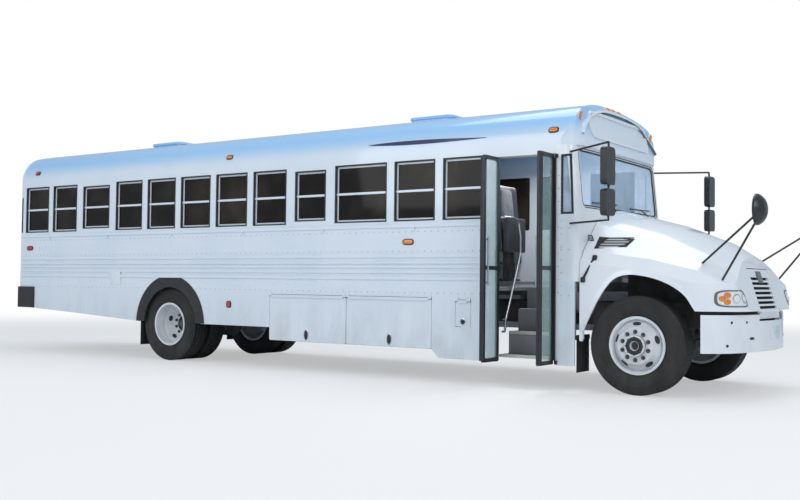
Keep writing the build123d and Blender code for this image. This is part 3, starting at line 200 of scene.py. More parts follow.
class Value:
    """A shader socket that takes part in sums: each operator adds one Math node."""

    def __init__(self, nodes: "Nodes", socket: bpy.types.NodeSocket) -> None:
        """Keeps the socket and the tree that it belongs to.

        Args:
            nodes: The material under construction.
            socket: An output socket in it.
        """
        self.nodes = nodes
        self.socket = socket

    def _math(self, operation: str, other: "Input") -> "Value":
        """Adds a Math node.

        Args:
            operation: The node's operation.
            other: Its second value.

        Returns:
            The node's result.
        """
        return self.nodes.add("ShaderNodeMath", {"operation": operation}, {0: self, 1: other})

    def __add__(self, other: "Input") -> "Value":
        """Sum."""
        return self._math("ADD", other)

    def __mul__(self, other: "Input") -> "Value":
        """Product."""
        return self._math("MULTIPLY", other)

    def __pow__(self, other: "Input") -> "Value":
        """Power."""
        return self._math("POWER", other)

    def fade(self, start: float, end: float) -> "Value":
        """Rises smoothly from 0 to 1 between two values.

        Args:
            start: Where the result is 0.
            end: Where the result is 1.

        Returns:
            The faded value.
        """
        return self.nodes.add(
            "ShaderNodeMapRange",
            {"interpolation_type": "SMOOTHSTEP"},
            {"Value": self, "From Min": start, "From Max": end},
        )


Input = Value | float | tuple


class Nodes:
    """One material's node tree."""

    def __init__(self, name: str) -> None:
        """Starts an empty material with its output and its shader.

        Args:
            name: The material's name.
        """
        self.material = bpy.data.materials.new(name)
        self.material.use_nodes = True
        self.tree = self.material.node_tree
        self.tree.nodes.clear()
        self.shader = self.tree.nodes.new("ShaderNodeBsdfPrincipled")
        self.output = self.tree.nodes.new("ShaderNodeOutputMaterial")
        self.tree.links.new(self.shader.outputs[0], self.output.inputs["Surface"])

    @staticmethod
    def find(sockets: Sequence[bpy.types.NodeSocket], key: int | str) -> bpy.types.NodeSocket:
        """Finds a socket by its place, its identifier or its name.

        Args:
            sockets: A node's inputs or outputs.
            key: The place, identifier or name.

        Returns:
            The socket.
        """
        if isinstance(key, int):
            return sockets[key]
        exact = [socket for socket in sockets if socket.identifier == key]
        return exact[0] if exact else [socket for socket in sockets if socket.name == key][0]

    def feed(self, socket: bpy.types.NodeSocket, value: Input) -> None:
        """Links a value to a socket, or sets the socket to a constant.

        Args:
            socket: The input socket.
            value: The value, number or colour.
        """
        if isinstance(value, Value):
            self.tree.links.new(value.socket, socket)
        elif isinstance(value, tuple) and len(value) == 3 and socket.type == "RGBA":
            socket.default_value = (*value, 1.0)
        else:
            socket.default_value = value

    def add(self, kind: str, settings: dict, inputs: dict, output: int | str = 0) -> Value:
        """Adds any node.

        Args:
            kind: The node's type.
            settings: Its properties, set before its sockets.
            inputs: Values or links of its sockets.
            output: The output that is handed back.

        Returns:
            That output as a value.
        """
        node = self.tree.nodes.new(kind)
        for name, setting in settings.items():
            setattr(node, name, setting)
        for key, value in inputs.items():
            self.feed(self.find(node.inputs, key), value)
        return Value(self, self.find(node.outputs, output))

    def set(self, **sockets: Input) -> None:
        """Sets or links the shader's own sockets.

        Args:
            sockets: Values by the socket's name, where an underscore stands for a space.
        """
        for name, value in sockets.items():
            self.feed(self.find(self.shader.inputs, name.replace("_", " ")), value)

    def place(self) -> Value:
        """The point of the surface in the object's own frame."""
        return self.add("ShaderNodeTexCoord", {}, {}, "Object")

    def axis(self, name: str) -> Value:
        """Takes one coordinate of that point.

        Args:
            name: X, Y or Z.

        Returns:
            The coordinate.
        """
        return self.add("ShaderNodeSeparateXYZ", {}, {0: self.place()}, name)

    def noise(self, scale: float, detail: float = 2.0, stretch: Point = (1, 1, 1)) -> Value:
        """Adds a noise.

        Args:
            scale: Lumps a metre.
            detail: How many finer layers it has.
            stretch: How much closer the lumps lie along each axis.

        Returns:
            A value about one half.
        """
        spot = self.add("ShaderNodeMapping", {}, {"Vector": self.place(), "Scale": stretch})
        return self.add(
            "ShaderNodeTexNoise", {}, {"Vector": spot, "Scale": scale, "Detail": detail}
        )

    def mix(self, factor: Input, first: Input, second: Input) -> Value:
        """Goes from one colour to another.

        Args:
            factor: 0 for the first colour, 1 for the second.
            first: The first colour.
            second: The second colour.

        Returns:
            The mixed colour.
        """
        return self.add(
            "ShaderNodeMix",
            {"data_type": "RGBA"},
            {"Factor_Float": factor, "A_Color": first, "B_Color": second},
            "Result_Color",
        )

    def bump(self, height: Value, depth: float, under: Value | None = None) -> Value:
        """Turns a height into a normal.

        Args:
            height: The height, from 0 to 1.
            depth: What 1 stands for, in metres.
            under: A normal that this one is laid on.

        Returns:
            The normal.
        """
        inputs: dict = {"Height": height, "Distance": depth}
        if under is not None:
            inputs["Normal"] = under
        return self.add("ShaderNodeBump", {}, inputs)


@dataclass(frozen=True)
class Finish:
    """A finish that makes its material once and hands it out again."""

    name: str

    def dress(self, nodes: Nodes) -> None:
        """Fills the material's nodes; each finish has its own way.

        Args:
            nodes: The empty material.
        """
        raise NotImplementedError

    def material(self) -> bpy.types.Material:
        """Looks up the finish's material, which is made at its first use.

        Returns:
            The material.
        """
        made = bpy.data.materials.get(self.name)
        if made is None:
            nodes = Nodes(self.name)
            self.dress(nodes)
            made = nodes.material
        return made

    def wear(self, piece: bpy.types.Object) -> None:
        """Puts the finish on a piece in place of what it wore.

        Args:
            piece: The piece.
        """
        piece.data.materials.clear()
        piece.data.materials.append(self.material())


@dataclass(frozen=True)
class Coating(Finish):
    """Paint, plastic or rubber: a tone that drifts, fine grain, slow waves and road film."""

    colour: Colour = (0.8, 0.8, 0.8)
    drift_colour: Colour = (0.75, 0.75, 0.75)
    drift_scale: float = 1.2
    roughness: float = 0.3
    roughness_spread: float = 0.08
    metallic: float = 0.0
    coat: float = 0.0
    grain_scale: float = 260.0
    grain_depth: float = 0.00012
    wave_scale: float = 2.2
    wave_depth: float = 0.0
    film: float = 0.0
    film_colour: Colour = (0.36, 0.33, 0.29)
    film_top: float = 1.1

    def dress(self, nodes: Nodes) -> None:
        """Builds the coating from noises and the height above the road.

        Args:
            nodes: The empty material.
        """
        drift = nodes.noise(self.drift_scale, 3.0).fade(0.35, 0.65)
        tone = nodes.mix(drift, self.colour, self.drift_colour)
        roughness = nodes.noise(self.drift_scale * 5, 3.0) * self.roughness_spread + self.roughness
        if self.film:
            height = nodes.axis("Z").fade(self.film_top, 0.25)
            streaks = nodes.noise(7.0, 4.0, (1.0, 1.0, 0.35)).fade(0.3, 0.75)
            dust = height * streaks * self.film
            tone = nodes.mix(dust, tone, self.film_colour)
            roughness = roughness + dust * 0.5
        normal = nodes.bump(nodes.noise(self.grain_scale, 1.0), self.grain_depth)
        if self.wave_depth:
            normal = nodes.bump(nodes.noise(self.wave_scale, 1.0), self.wave_depth, normal)
        nodes.set(Base_Color=tone, Roughness=roughness, Normal=normal)
        nodes.set(Metallic=self.metallic, Coat_Weight=self.coat, Coat_Roughness=0.04)


@dataclass(frozen=True)
class RoofWithPaintedReflection(Coating):
    """White paint with a painted blue sky reflection on its shoulders, growing with height."""

    # Painted sky reflection: the blue laid on the roof shoulders.
    shoulder: Colour = (0.32, 0.60, 0.93)
    painted_reflection_from: float = 2.68
    painted_reflection_full: float = 2.95

    def dress(self, nodes: Nodes) -> None:
        """Adds the painted blue sky reflection by height to the plain coating.

        Args:
            nodes: The empty material.
        """
        super().dress(nodes)
        height = nodes.axis("Z")
        # Painted sky reflection: the paint turns blue with height over the roof shoulders.
        share = height.fade(self.painted_reflection_from, self.painted_reflection_full) * 0.92
        plain = Value(nodes, nodes.shader.inputs["Base Color"].links[0].from_socket)
        nodes.set(Base_Color=nodes.mix(share, plain, self.shoulder))


@dataclass(frozen=True)
class Glass(Finish):
    """A pane: dark or pale, partly clear, with a faint film of dust."""

    colour: Colour = (0.02, 0.018, 0.016)
    dust: Colour = (0.10, 0.085, 0.07)
    alpha: float = 0.86
    roughness: float = 0.03
    bend: float = 1.5

    def dress(self, nodes: Nodes) -> None:
        """Builds the pane.

        Args:
            nodes: The empty material.
        """
        film = nodes.noise(1.6, 4.0).fade(0.42, 0.78)
        nodes.set(Base_Color=nodes.mix(film, self.colour, self.dust))
        nodes.set(Roughness=film * 0.05 + self.roughness, Alpha=self.alpha)
        nodes.set(Normal=nodes.bump(nodes.noise(1.1, 0.0), 0.0012))
        nodes.set(IOR=self.bend)


class Palette:
    """Every finish of the coach."""

    body = Coating(
        "body_white", (0.80, 0.85, 0.91), (0.76, 0.82, 0.89), roughness=0.16, coat=0.6,
        wave_depth=0.004, film=0.35,
    )
    # The roof paint carries a painted blue sky reflection on its shoulders.
    roof = RoofWithPaintedReflection("roof_white", (0.80, 0.86, 0.93), (0.76, 0.83, 0.91), roughness=0.16, coat=0.6)
    nose = Coating(
        "nose_white", (0.86, 0.88, 0.91), (0.83, 0.86, 0.90), roughness=0.14, coat=0.7, film=0.2,
    )
    tinted = Glass("tinted_pane", (0.014, 0.011, 0.009), (0.05, 0.04, 0.03), 0.95, 0.05, 1.28)
    leaf = Glass("leaf_pane", (0.42, 0.62, 0.60), (0.60, 0.74, 0.72), 0.30, 0.02)
    clear = Glass("clear_pane", (0.55, 0.72, 0.90), (0.70, 0.80, 0.90), 0.42, 0.02)
    rubber = Coating(
        "tyre_black", (0.012, 0.0115, 0.0115), (0.02, 0.019, 0.018), 4.0, 0.62, 0.15,
        grain_scale=420.0, grain_depth=0.0004, film=0.07, film_top=1.2,
    )
    wheel = Coating(
        "wheel_white", (0.78, 0.80, 0.83), (0.70, 0.72, 0.75), 5.0, 0.3, 0.1, film=0.3, film_top=1.4,
    )
    black = Coating("gloss_black", (0.016, 0.016, 0.018), (0.024, 0.024, 0.026), 3.0, 0.25, 0.12)
    chassis = Coating(
        "chassis_black", (0.02, 0.02, 0.022), (0.05, 0.045, 0.04), 6.0, 0.55, 0.2, film=0.5,
    )
    floor = Coating("floor_grey", (0.27, 0.27, 0.28), (0.33, 0.33, 0.34), 5.0, 0.6, 0.15)
    seat = Coating(
        "seat_black", (0.025, 0.025, 0.028), (0.035, 0.035, 0.04), 4.0, 0.45, 0.1,
        grain_scale=300.0, grain_depth=0.0006,
    )
    dash = Coating("dash_grey", (0.06, 0.06, 0.065), (0.08, 0.08, 0.085), 3.0, 0.55, 0.1)
    nut = Coating("nut_steel", (0.13, 0.135, 0.14), (0.08, 0.085, 0.09), 30.0, 0.35, 0.15, 0.7)
    gasket = Coating("gasket_black", (0.018, 0.018, 0.02), (0.03, 0.03, 0.032), 8.0, 0.5, 0.15)
    steel = Coating("bright_steel", (0.62, 0.63, 0.65), (0.5, 0.51, 0.53), 12.0, 0.22, 0.12, 1.0)
    navy = Coating("stripe_navy", (0.015, 0.025, 0.09), (0.02, 0.035, 0.11), 3.0, 0.25, 0.1, coat=0.4)
    amber = Coating("lamp_amber", (0.85, 0.27, 0.02), (0.68, 0.18, 0.015), 60.0, 0.12, 0.08, coat=1.0)
    red = Coating("lamp_red", (0.55, 0.02, 0.015), (0.40, 0.015, 0.01), 60.0, 0.12, 0.08, coat=1.0)
    # Rivet heads: a blue-grey darker than the paint around them, as painted shade of each head.
    rivet = Coating("rivet_grey", (0.36, 0.40, 0.45), (0.50, 0.54, 0.59), 20.0, 0.3, 0.1)
    trim = Coating("trim_grey", (0.16, 0.165, 0.17), (0.12, 0.125, 0.13), 6.0, 0.4, 0.1)
    chrome = Coating("bright_chrome", (0.72, 0.74, 0.76), (0.62, 0.64, 0.66), 10.0, 0.1, 0.08, 1.0)
    cream = Coating("cream_paint", (0.62, 0.60, 0.54), (0.55, 0.53, 0.47), 5.0, 0.4, 0.12, film=0.4)
    roof_trim = Coating("brow_white", (0.84, 0.86, 0.90), (0.80, 0.83, 0.88), 3.0, 0.16, 0.06, coat=0.6)
    cloth = Coating(
        "seat_grey", (0.17, 0.175, 0.185), (0.22, 0.225, 0.235), 9.0, 0.85, 0.1,
        grain_scale=500.0, grain_depth=0.0008,
    )
    lamp = Coating("lamp_clear", (0.75, 0.78, 0.80), (0.62, 0.66, 0.70), 14.0, 0.08, 0.05, coat=1.0)


class Dress:
    """Gives every carried-over CAD node its finish."""

    table: dict[Finish, tuple[str, ...]] = {
        Palette.body: (
            "right_side", "left_side", "right_skirt", "left_skirt", "rear_wall", "entry_header",
            "luggage_door_front", "luggage_door_rear", "battery_door", "exit_door",
        ),
        Palette.roof: ("roof", "hatch_panels", "roof_hatch_front", "roof_hatch_rear", "front_cap"),
        Palette.nose: ("hood", "cab_front", "front_bumper", "grille"),
        Palette.tinted: ("window_glass", "exit_door_glass"),
        Palette.clear: ("windshield", "quarter_glass"),
        Palette.leaf: ("entry_glass_front", "entry_glass_rear"),
        Palette.rubber: ("tyre_front_right", "tyre_front_left", "tyres_rear_right", "tyres_rear_left"),
        Palette.wheel: ("rim_front_right", "rim_front_left", "rims_rear_right", "rims_rear_left"),
        Palette.black: (
            "arch_lips", "entry_leaf_front", "entry_leaf_rear", "entry_hinges", "rear_bumper",
            "crossview_mirrors", "view_mirrors",
        ),
        Palette.chassis: (
            "chassis_frame", "front_axle", "rear_axle", "leaf_springs", "engine", "radiator",
            "knuckle_left", "knuckle_right", "tie_rod", "luggage_box",
        ),
        Palette.floor: ("floor", "entry_steps"),
        Palette.seat: ("passenger_seats", "driver_seat"),
        Palette.dash: ("dashboard", "steering_wheel"),
        Palette.lamp: ("headlamps",),
    }

    def build(self) -> None:
        """Dresses the nodes that the table names."""
        for finish, names in self.table.items():
            for name in names:
                finish.wear(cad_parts[name])
                LOG.info("dressed %s in %s", name, finish.name)


class Form:
    """A mesh that is shaped with operators and then handed over as a piece."""

    def __init__(self) -> None:
        """Starts with an empty mesh."""
        self.mesh = bmesh.new()

    def _bevel(self, verts: Sequence[bmesh.types.BMVert], width: float) -> None:
        """Rounds every edge that meets the given vertices.

        Args:
            verts: The vertices.
            width: The radius of the edges.
        """
        edges = list({edge for vert in verts for edge in vert.link_edges})
        bmesh.ops.bevel(
            self.mesh, geom=edges, offset=width, offset_type="OFFSET", segments=2,
            profile=0.5, affect="EDGES", material=-1,
        )

    def box(self, low: Vector, high: Vector, rounding: float = 0.0) -> None:
        """Adds a block between two corners.

        Args:
            low: One corner in the row frame.
            high: The opposite corner.
            rounding: The radius of its edges.
        """
        middle, size = (low + high) / 2, high - low
        scale = Matrix.Diagonal((abs(size.x), abs(size.y), abs(size.z), 1.0))
        made = bmesh.ops.create_cube(self.mesh, size=1.0, matrix=Matrix.Translation(middle) @ scale)
        if rounding:
            self._bevel(made["verts"], rounding)

    def peg(
        self, foot: Vector, tip: Vector, radius: float, tip_radius: float | None = None, sides: int = 16
    ) -> None:
        """Adds a round peg or cone between two points.

        Args:
            foot: The middle of its first end.
            tip: The middle of its other end.
            radius: Its radius at the foot.
            tip_radius: Its radius at the tip, the same if left out.
            sides: Faces around it.
        """
        way = tip - foot
        turn = way.to_track_quat("Z", "Y").to_matrix().to_4x4()
        bmesh.ops.create_cone(
            self.mesh, cap_ends=True, cap_tris=False, segments=sides, radius1=radius,
            radius2=radius if tip_radius is None else tip_radius, depth=way.length,
            matrix=Matrix.Translation((foot + tip) / 2) @ turn,
        )

    def turned(self, profile: Line, centre: Vector, axis: Vector, steps: int) -> None:
        """Spins a closed half-section about an axis.

        Args:
            profile: Radius and distance along the axis of each corner.
            centre: A point on the axis.
            axis: Its direction.
            steps: Faces around.
        """
        along = axis.normalized()
        out = along.orthogonal().normalized()
        verts = [self.mesh.verts.new(centre + out * radius + along * far) for radius, far in profile]
        edges = [self.mesh.edges.new(pair) for pair in zip(verts, verts[1:])]
        edges.append(self.mesh.edges.new((verts[-1], verts[0])))
        bmesh.ops.spin(
            self.mesh, geom=verts + edges, cent=centre, axis=along, angle=math.tau, steps=steps,
            use_merge=True, use_duplicate=False,
        )

    def plate(self, outline: Sequence[Vector], thickness: Vector, rounding: float = 0.0) -> None:
        """Adds a plate: an outline pushed through a thickness.

        Args:
            outline: Its corners in order.
            thickness: How far and which way it is pushed.
            rounding: The radius of its edges.
        """
        face = self.mesh.faces.new([self.mesh.verts.new(corner) for corner in outline])
        pushed = bmesh.ops.extrude_face_region(self.mesh, geom=[face])["geom"]
        moved = [item for item in pushed if isinstance(item, bmesh.types.BMVert)]
        bmesh.ops.translate(self.mesh, verts=moved, vec=thickness)
        bmesh.ops.reverse_faces(self.mesh, faces=[face])
        if rounding:
            self._bevel(moved, rounding)

    def ring(
        self, outline: Sequence[Vector], inner: Sequence[Vector], thickness: Vector, closed: bool = True
    ) -> None:
        """Adds a flat frame or strip between two outlines with as many corners.

        Args:
            outline: The corners of one edge.
            inner: The corners of the other edge.
            thickness: How far and which way it is pushed.
            closed: Whether it runs all round, or ends where the outlines end.
        """
        outer = [self.mesh.verts.new(corner) for corner in outline]
        other = [self.mesh.verts.new(corner) for corner in inner]
        count = len(outer)
        faces = [
            self.mesh.faces.new((outer[i], outer[(i + 1) % count], other[(i + 1) % count], other[i]))
            for i in range(count if closed else count - 1)
        ]
        pushed = bmesh.ops.extrude_face_region(self.mesh, geom=faces)["geom"]
        moved = [item for item in pushed if isinstance(item, bmesh.types.BMVert)]
        bmesh.ops.translate(self.mesh, verts=moved, vec=thickness)

    def pad(
        self, spot: Vector, normal: Vector, size: tuple[float, float], tall: float, square: float,
        along: Vector | None = None,
    ) -> None:
        """Lays an oval or squarish plate on a surface.

        Args:
            spot: Its middle on the surface.
            normal: The surface's outward normal.
            size: Its width and its height.
            tall: How far it stands proud.
            square: 1 for an oval, near 0 for a rectangle.
            along: The way its width runs, level if left out.
        """
        across = Vector((0, 0, 1)).cross(normal) if along is None else along - normal * along.dot(normal)
        across = across.normalized() if across.length > 0.01 else Vector((0, 1, 0))
        rise = normal.cross(across).normalized()
        corners = [
            spot + across * (wide * size[0] / 2) + rise * (high * size[1] / 2) - normal * SUNK
            for wide, high in oval(24, square)
        ]
        self.plate(corners, normal * (tall + SUNK), min(0.003, tall / 2))

    def done(
        self, name: str, body: str, finish: Finish, slot: Slot, smooth: bool = True
    ) -> bpy.types.Object:
        """Closes the form and hands it over as a piece that rides on a body.

        Args:
            name: The piece's name.
            body: The body that it rides on.
            finish: What it wears.
            slot: Not used.
            smooth: Whether its shading is smooth, with sharp edges kept.

        Returns:
            The piece.
        """
        bmesh.ops.remove_doubles(self.mesh, verts=self.mesh.verts, dist=WELD)
        bmesh.ops.recalc_face_normals(self.mesh, faces=self.mesh.faces)
        for face in self.mesh.faces:
            face.smooth = smooth
        for edge in self.mesh.edges:
            edge.smooth = len(edge.link_faces) == 2 and edge.calc_face_angle(0.0) < SHARP
        data = bpy.data.meshes.new(name)
        self.mesh.to_mesh(data)
        self.mesh.free()
        piece = linked(name, data)
        finish.wear(piece)
        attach(piece, body)
        LOG.info("built %s with %d faces", name, len(data.polygons))
        return piece


class Skin:
    """The surface of CAD nodes, to lay small pieces on."""

    def __init__(self, *names: str) -> None:
        """Gathers the nodes' triangles.

        Args:
            names: The CAD nodes.
        """
        mesh = bmesh.new()
        for name in names:
            mesh.from_mesh(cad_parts[name].data)
        self.tree = BVHTree.FromBMesh(mesh)
        mesh.free()

    def hit(self, start: Vector, way: Vector) -> Spot:
        """Finds where a ray meets the surface.

        Args:
            start: Where the ray starts.
            way: Its direction.

        Returns:
            The point and the surface's outward normal there.
        """
        spot, normal, _, _ = self.tree.ray_cast(start, way)
        if spot is None:
            spot, normal, _, _ = self.tree.find_nearest(start + way * 2.0)
        return spot, normal if normal.dot(way) < 0 else -normal

    def beside(self, side: Side, station: float, up: float) -> Spot:
        """Looks at the surface squarely from one side.

        Args:
            side: The side.
            station: The point's distance forward of the front axle.
            up: Its height.

        Returns:
            The point and the normal there.
        """
        return self.hit(at(station, side.value * 3.0, up), Vector((0, -side.value, 0)))

    def before(self, left: float, up: float) -> Spot:
        """Looks at the surface from ahead of the coach.

        Args:
            left: The point's distance left.
            up: Its height.

        Returns:
            The point and the normal there.
        """
        return self.hit(at(4.0, left, up), Vector((-1, 0, 0)))

    def behind(self, left: float, up: float) -> Spot:
        """Looks at the surface from behind the coach.

        Args:
            left: The point's distance left.
            up: Its height.

        Returns:
            The point and the normal there.
        """
        return self.hit(at(-14.0, left, up), Vector((1, 0, 0)))

    def drape(self, side: Side, outline: Line, lift: float) -> list[Vector]:
        """Lays an outline of stations and heights on the surface of one side.

        Args:
            side: The side.
            outline: Station and height of each corner.
            lift: How far it stands proud.

        Returns:
            The corners on the surface.
        """
        found = [self.beside(side, station, up) for station, up in outline]
        return [spot + normal * lift for spot, normal in found]

    def face(self, outline: Line, lift: float) -> list[Vector]:
        """Lays an outline of distances left and heights on the surface seen from ahead.

        Args:
            outline: Distance left and height of each corner.
            lift: How far it stands proud.

        Returns:
            The corners on the surface.
        """
        found = [self.before(left, up) for left, up in outline]
        return [spot + normal * lift for spot, normal in found]


def pane_boxes(node: str) -> list[tuple[Vector, Vector]]:
    """Finds the box of each separate solid of a CAD node.

    Args:
        node: The CAD node's name.

    Returns:
        Lowest and highest corner of each solid.
    """
    mesh = bmesh.new()
    mesh.from_mesh(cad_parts[node].data)
    bmesh.ops.remove_doubles(mesh, verts=mesh.verts, dist=WELD / 2)
    left = set(mesh.verts)
    boxes = []
    while left:
        group, edge = set(), [left.pop()]
        while edge:
            vert = edge.pop()
            group.add(vert)
            near = {other for link in vert.link_edges for other in link.verts} & left
            left -= near
            edge.extend(near)
        spots = [vert.co for vert in group]
        low = Vector([min(spot[i] for spot in spots) for i in range(3)])
        high = Vector([max(spot[i] for spot in spots) for i in range(3)])
        boxes.append((low, high))
    mesh.free()
    return sorted(boxes, key=lambda box: (box[0].y, box[0].x))


@dataclass
class Wheels:
    """Treaded tyres, wheel nuts and hub caps.

    A nut's step gives how far out it starts and ends, the radius there and its number of sides.
    """

    bead: float = 0.289
    tread_gap: float = 0.007
    steps: int = 60
    nuts: int = 10
    nut_circle: float = 0.145
    nut_steps: tuple[tuple[float, ...], ...] = (
        (-0.002, 0.005, 0.023, 0.023, 12), (0.005, 0.024, 0.0175, 0.0155, 6), (0.024, 0.031, 0.009, 0.009, 8),
    )
    holes: int = 5
    hole_circle: float = 0.226
    hole_size: tuple[float, float] = (0.088, 0.056)
    cap_radii: tuple[float, ...] = (0.001, 0.03, 0.05, 0.07, 0.09, 0.112)
    bolts: int = 8
    bolt_circle: float = 0.09

    def section(self, outer: float, bead: float, width: float) -> list[tuple[float, float]]:
        """Draws a tyre's half-section with its sidewall steps and four tread grooves.

        Args:
            outer: The tyre's radius under its blocks.
            bead: Its radius at the rim.
            width: Its width.

        Returns:
            Radius and place across of each corner.
        """
        half = width / 2
        wall = [
            (bead, 0.70 * half), (bead + 0.012, 0.80 * half), (bead + 0.03, 0.84 * half),
            (bead + 0.036, 0.88 * half), (bead + 0.09, 0.985 * half), (bead + 0.12, 0.995 * half),
            (outer - 0.075, 0.99 * half), (outer - 0.07, 0.96 * half), (outer - 0.03, 0.94 * half),
            (outer - 0.008, 0.88 * half),
        ]
        tread = []
        for edge in (0.60, 0.22):
            tread += [(outer, (edge + 0.04) * half), (outer - 0.012, (edge + 0.02) * half)]
            tread += [(outer - 0.012, (edge - 0.02) * half), (outer, (edge - 0.04) * half)]
        side = wall + [(outer, 0.84 * half)] + tread
        inside = [(outer - 0.04, 0.7 * half), (bead + 0.03, 0.74 * half)]
        mirrored = [(radius, -across) for radius, across in reversed(side)]
        hollow = [(radius, -across) for radius, across in reversed(inside)]
        return side + mirrored + hollow + inside

    def tyre(self, form: Form, low: Vector, high: Vector) -> None:
        """Spins one tyre and raises its tread blocks.

        Args:
            form: The form that it joins.
            low: Lowest corner of the CAD tyre's box.
            high: Highest corner.
        """
        outer = (high.z - low.z) / 2 - self.tread_gap
        before = len(form.mesh.faces)
        middle = (low + high) / 2
        profile = self.section(outer, self.bead, (high.y - low.y) * 0.99)
        form.turned(profile, middle, Vector((0, 1, 0)), self.steps)
        form.mesh.faces.ensure_lookup_table()
        bmesh.ops.recalc_face_normals(form.mesh, faces=form.mesh.faces)
        blocks = []
        for face in form.mesh.faces[before:]:
            spot = face.calc_center_median() - middle
            radius = math.hypot(spot.x, spot.z)
            if radius > outer - 0.006 and abs(face.normal.y) < 0.5:
                blocks.append(face)
        bmesh.ops.inset_individual(form.mesh, faces=blocks, thickness=0.0035, depth=0.006)

    def caps(self, side: Side, skin: Skin, centre: Vector, hub: Form, nuts: Form, holes: Form) -> None:
        """Sets the nuts and hand holes around one wheel and covers its hub.

        Args:
            side: The wheel's side.
            skin: Its rim's surface.
            centre: Its middle.
            hub: The form that its cap joins.
            nuts: The form that its nuts join.
            holes: The form that its hand holes join.
        """
        way = Vector((0, -side.value, 0))
        start = Vector((centre.x, 0, centre.z)) + Vector((0, side.value * 1.5, 0))

        def seen(radius: float, angle: float) -> Spot:
            """Looks at the wheel squarely.

            Args:
                radius: The point's distance from the axle.
                angle: Its angle around the axle.

            Returns:
                The point and the normal there.
            """
            return skin.hit(start + Vector((math.cos(angle), 0, math.sin(angle))) * radius, way)

        for i in range(self.nuts):
            spot, _ = seen(self.nut_circle, math.tau * (i + 0.5) / self.nuts)
            for foot, tip, radius, tip_radius, sides in self.nut_steps:
                nuts.peg(spot - way * foot, spot - way * tip, radius, tip_radius, sides)
        for i in range(self.holes):
            angle = math.pi / 2 + math.tau * i / self.holes
            spot, normal = seen(self.hole_circle, angle)
            along = Vector((-math.sin(angle), 0, math.cos(angle)))
            holes.pad(spot, normal, self.hole_size, 0.004, 1.0, along)
        faces = [(radius, abs(seen(radius, 0.3)[0].y)) for radius in self.cap_radii]
        top = [(radius, far_out + 0.0035) for radius, far_out in faces]
        under = [(radius, far_out - 0.003) for radius, far_out in reversed(faces)]
        hub.turned(top + under, Vector((centre.x, 0, centre.z)), -way, 40)
        for i in range(self.bolts):
            spot, _ = seen(self.bolt_circle, math.tau * i / self.bolts)
            hub.peg(spot, spot - way * 0.012, 0.008, sides=6)

    def build(self) -> None:
        """Builds all six tyres with their fittings."""
        for side in Side:
            hand = side.name.lower()
            for place, node, rim, body in (
                ("front", f"tyre_front_{hand}", f"rim_front_{hand}", f"wheel_front_{hand}"),
                ("rear", f"tyres_rear_{hand}", f"rims_rear_{hand}", f"wheels_rear_{hand}"),
            ):
                rubber, nuts, hub, holes = Form(), Form(), Form(), Form()
                for low, high in pane_boxes(node):
                    self.tyre(rubber, low, high)
                piece = rubber.done(f"tread_{place}_{hand}", body, Palette.rubber, Slot.TYRE)
                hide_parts(node)
                self.caps(side, Skin(rim), node_centre(node), hub, nuts, holes)
                nuts.done(f"nuts_{place}_{hand}", body, Palette.nut, Slot.WHEEL)
                hub.done(f"hub_{place}_{hand}", body, Palette.black, Slot.BLACK)
                holes.done(f"hand_holes_{place}_{hand}", body, Palette.gasket, Slot.BLACK)


@dataclass
class Windows:
    """Gaskets, frames and middle bars of the side windows."""

    gasket_width: float = 0.016
    frame_width: float = 0.02
    frame_depth: float = 0.006
    bar_height: float = 0.03
    bar_depth: float = 0.013
    exits: tuple[int, ...] = (3, 9)
    outer: float = HALF_WIDTH + 0.004

    @staticmethod
    def outline(low: Vector, high: Vector, left: float, grow: float) -> list[Vector]:
        """Draws a side pane's outline, grown or shrunk.

        Args:
            low: Lowest corner of the pane.
            high: Highest corner of the pane.
            left: The outline's distance left.
            grow: How far it stands outside the pane.

        Returns:
            Its four corners.
        """
        return [
            Vector((low.x - grow, left, low.z - grow)), Vector((high.x + grow, left, low.z - grow)),
            Vector((high.x + grow, left, high.z + grow)), Vector((low.x - grow, left, high.z + grow)),
        ]

    def side(self, side: Side) -> None:
        """Frames the panes of one side.

        Args:
            side: The side.
        """
        frames, gaskets = Form(), Form()
        outer = side.value * self.outer
        step = Vector((0, -side.value * self.frame_depth, 0))
        panes = [box for box in pane_boxes("window_glass") if (box[0].y + box[1].y) * side.value > 1.6]
        panes.sort(key=lambda box: -box[0].x)
        for i, (low, high) in enumerate(panes):
            face = max(abs(low.y), abs(high.y))
            inner = self.outline(low, high, outer, -self.gasket_width)
            depth = Vector((0, -side.value * (self.outer - face), 0))
            gaskets.ring(self.outline(low, high, outer, 0.001), inner, depth)
            proud = side.value * (face + self.frame_depth)
            ring = self.outline(low, high, proud, -self.gasket_width)
            inner = self.outline(low, high, proud, -self.gasket_width - self.frame_width)
            frames.ring(ring, inner, step)
            middle = (low.z + high.z) / 2
            grow = self.bar_height / 2
            edge = self.gasket_width + 0.002
            frames.box(
                Vector((low.x + edge, side.value * face, middle - grow)),
                Vector((high.x - edge, side.value * (face + self.bar_depth), middle + grow)), 0.003,
            )
            if i + 1 in self.exits:
                ring = self.outline(low, high, outer, 0.022)
                frames.ring(ring, self.outline(low, high, outer, 0.002), step)
        hand = side.name.lower()
        frames.done(f"window_frames_{hand}", "coach", Palette.body, Slot.BODY)
        gaskets.done(f"window_gaskets_{hand}", "coach", Palette.gasket, Slot.BLACK)

    def build(self) -> None:
        """Frames both sides."""
        for side in Side:
            self.side(side)


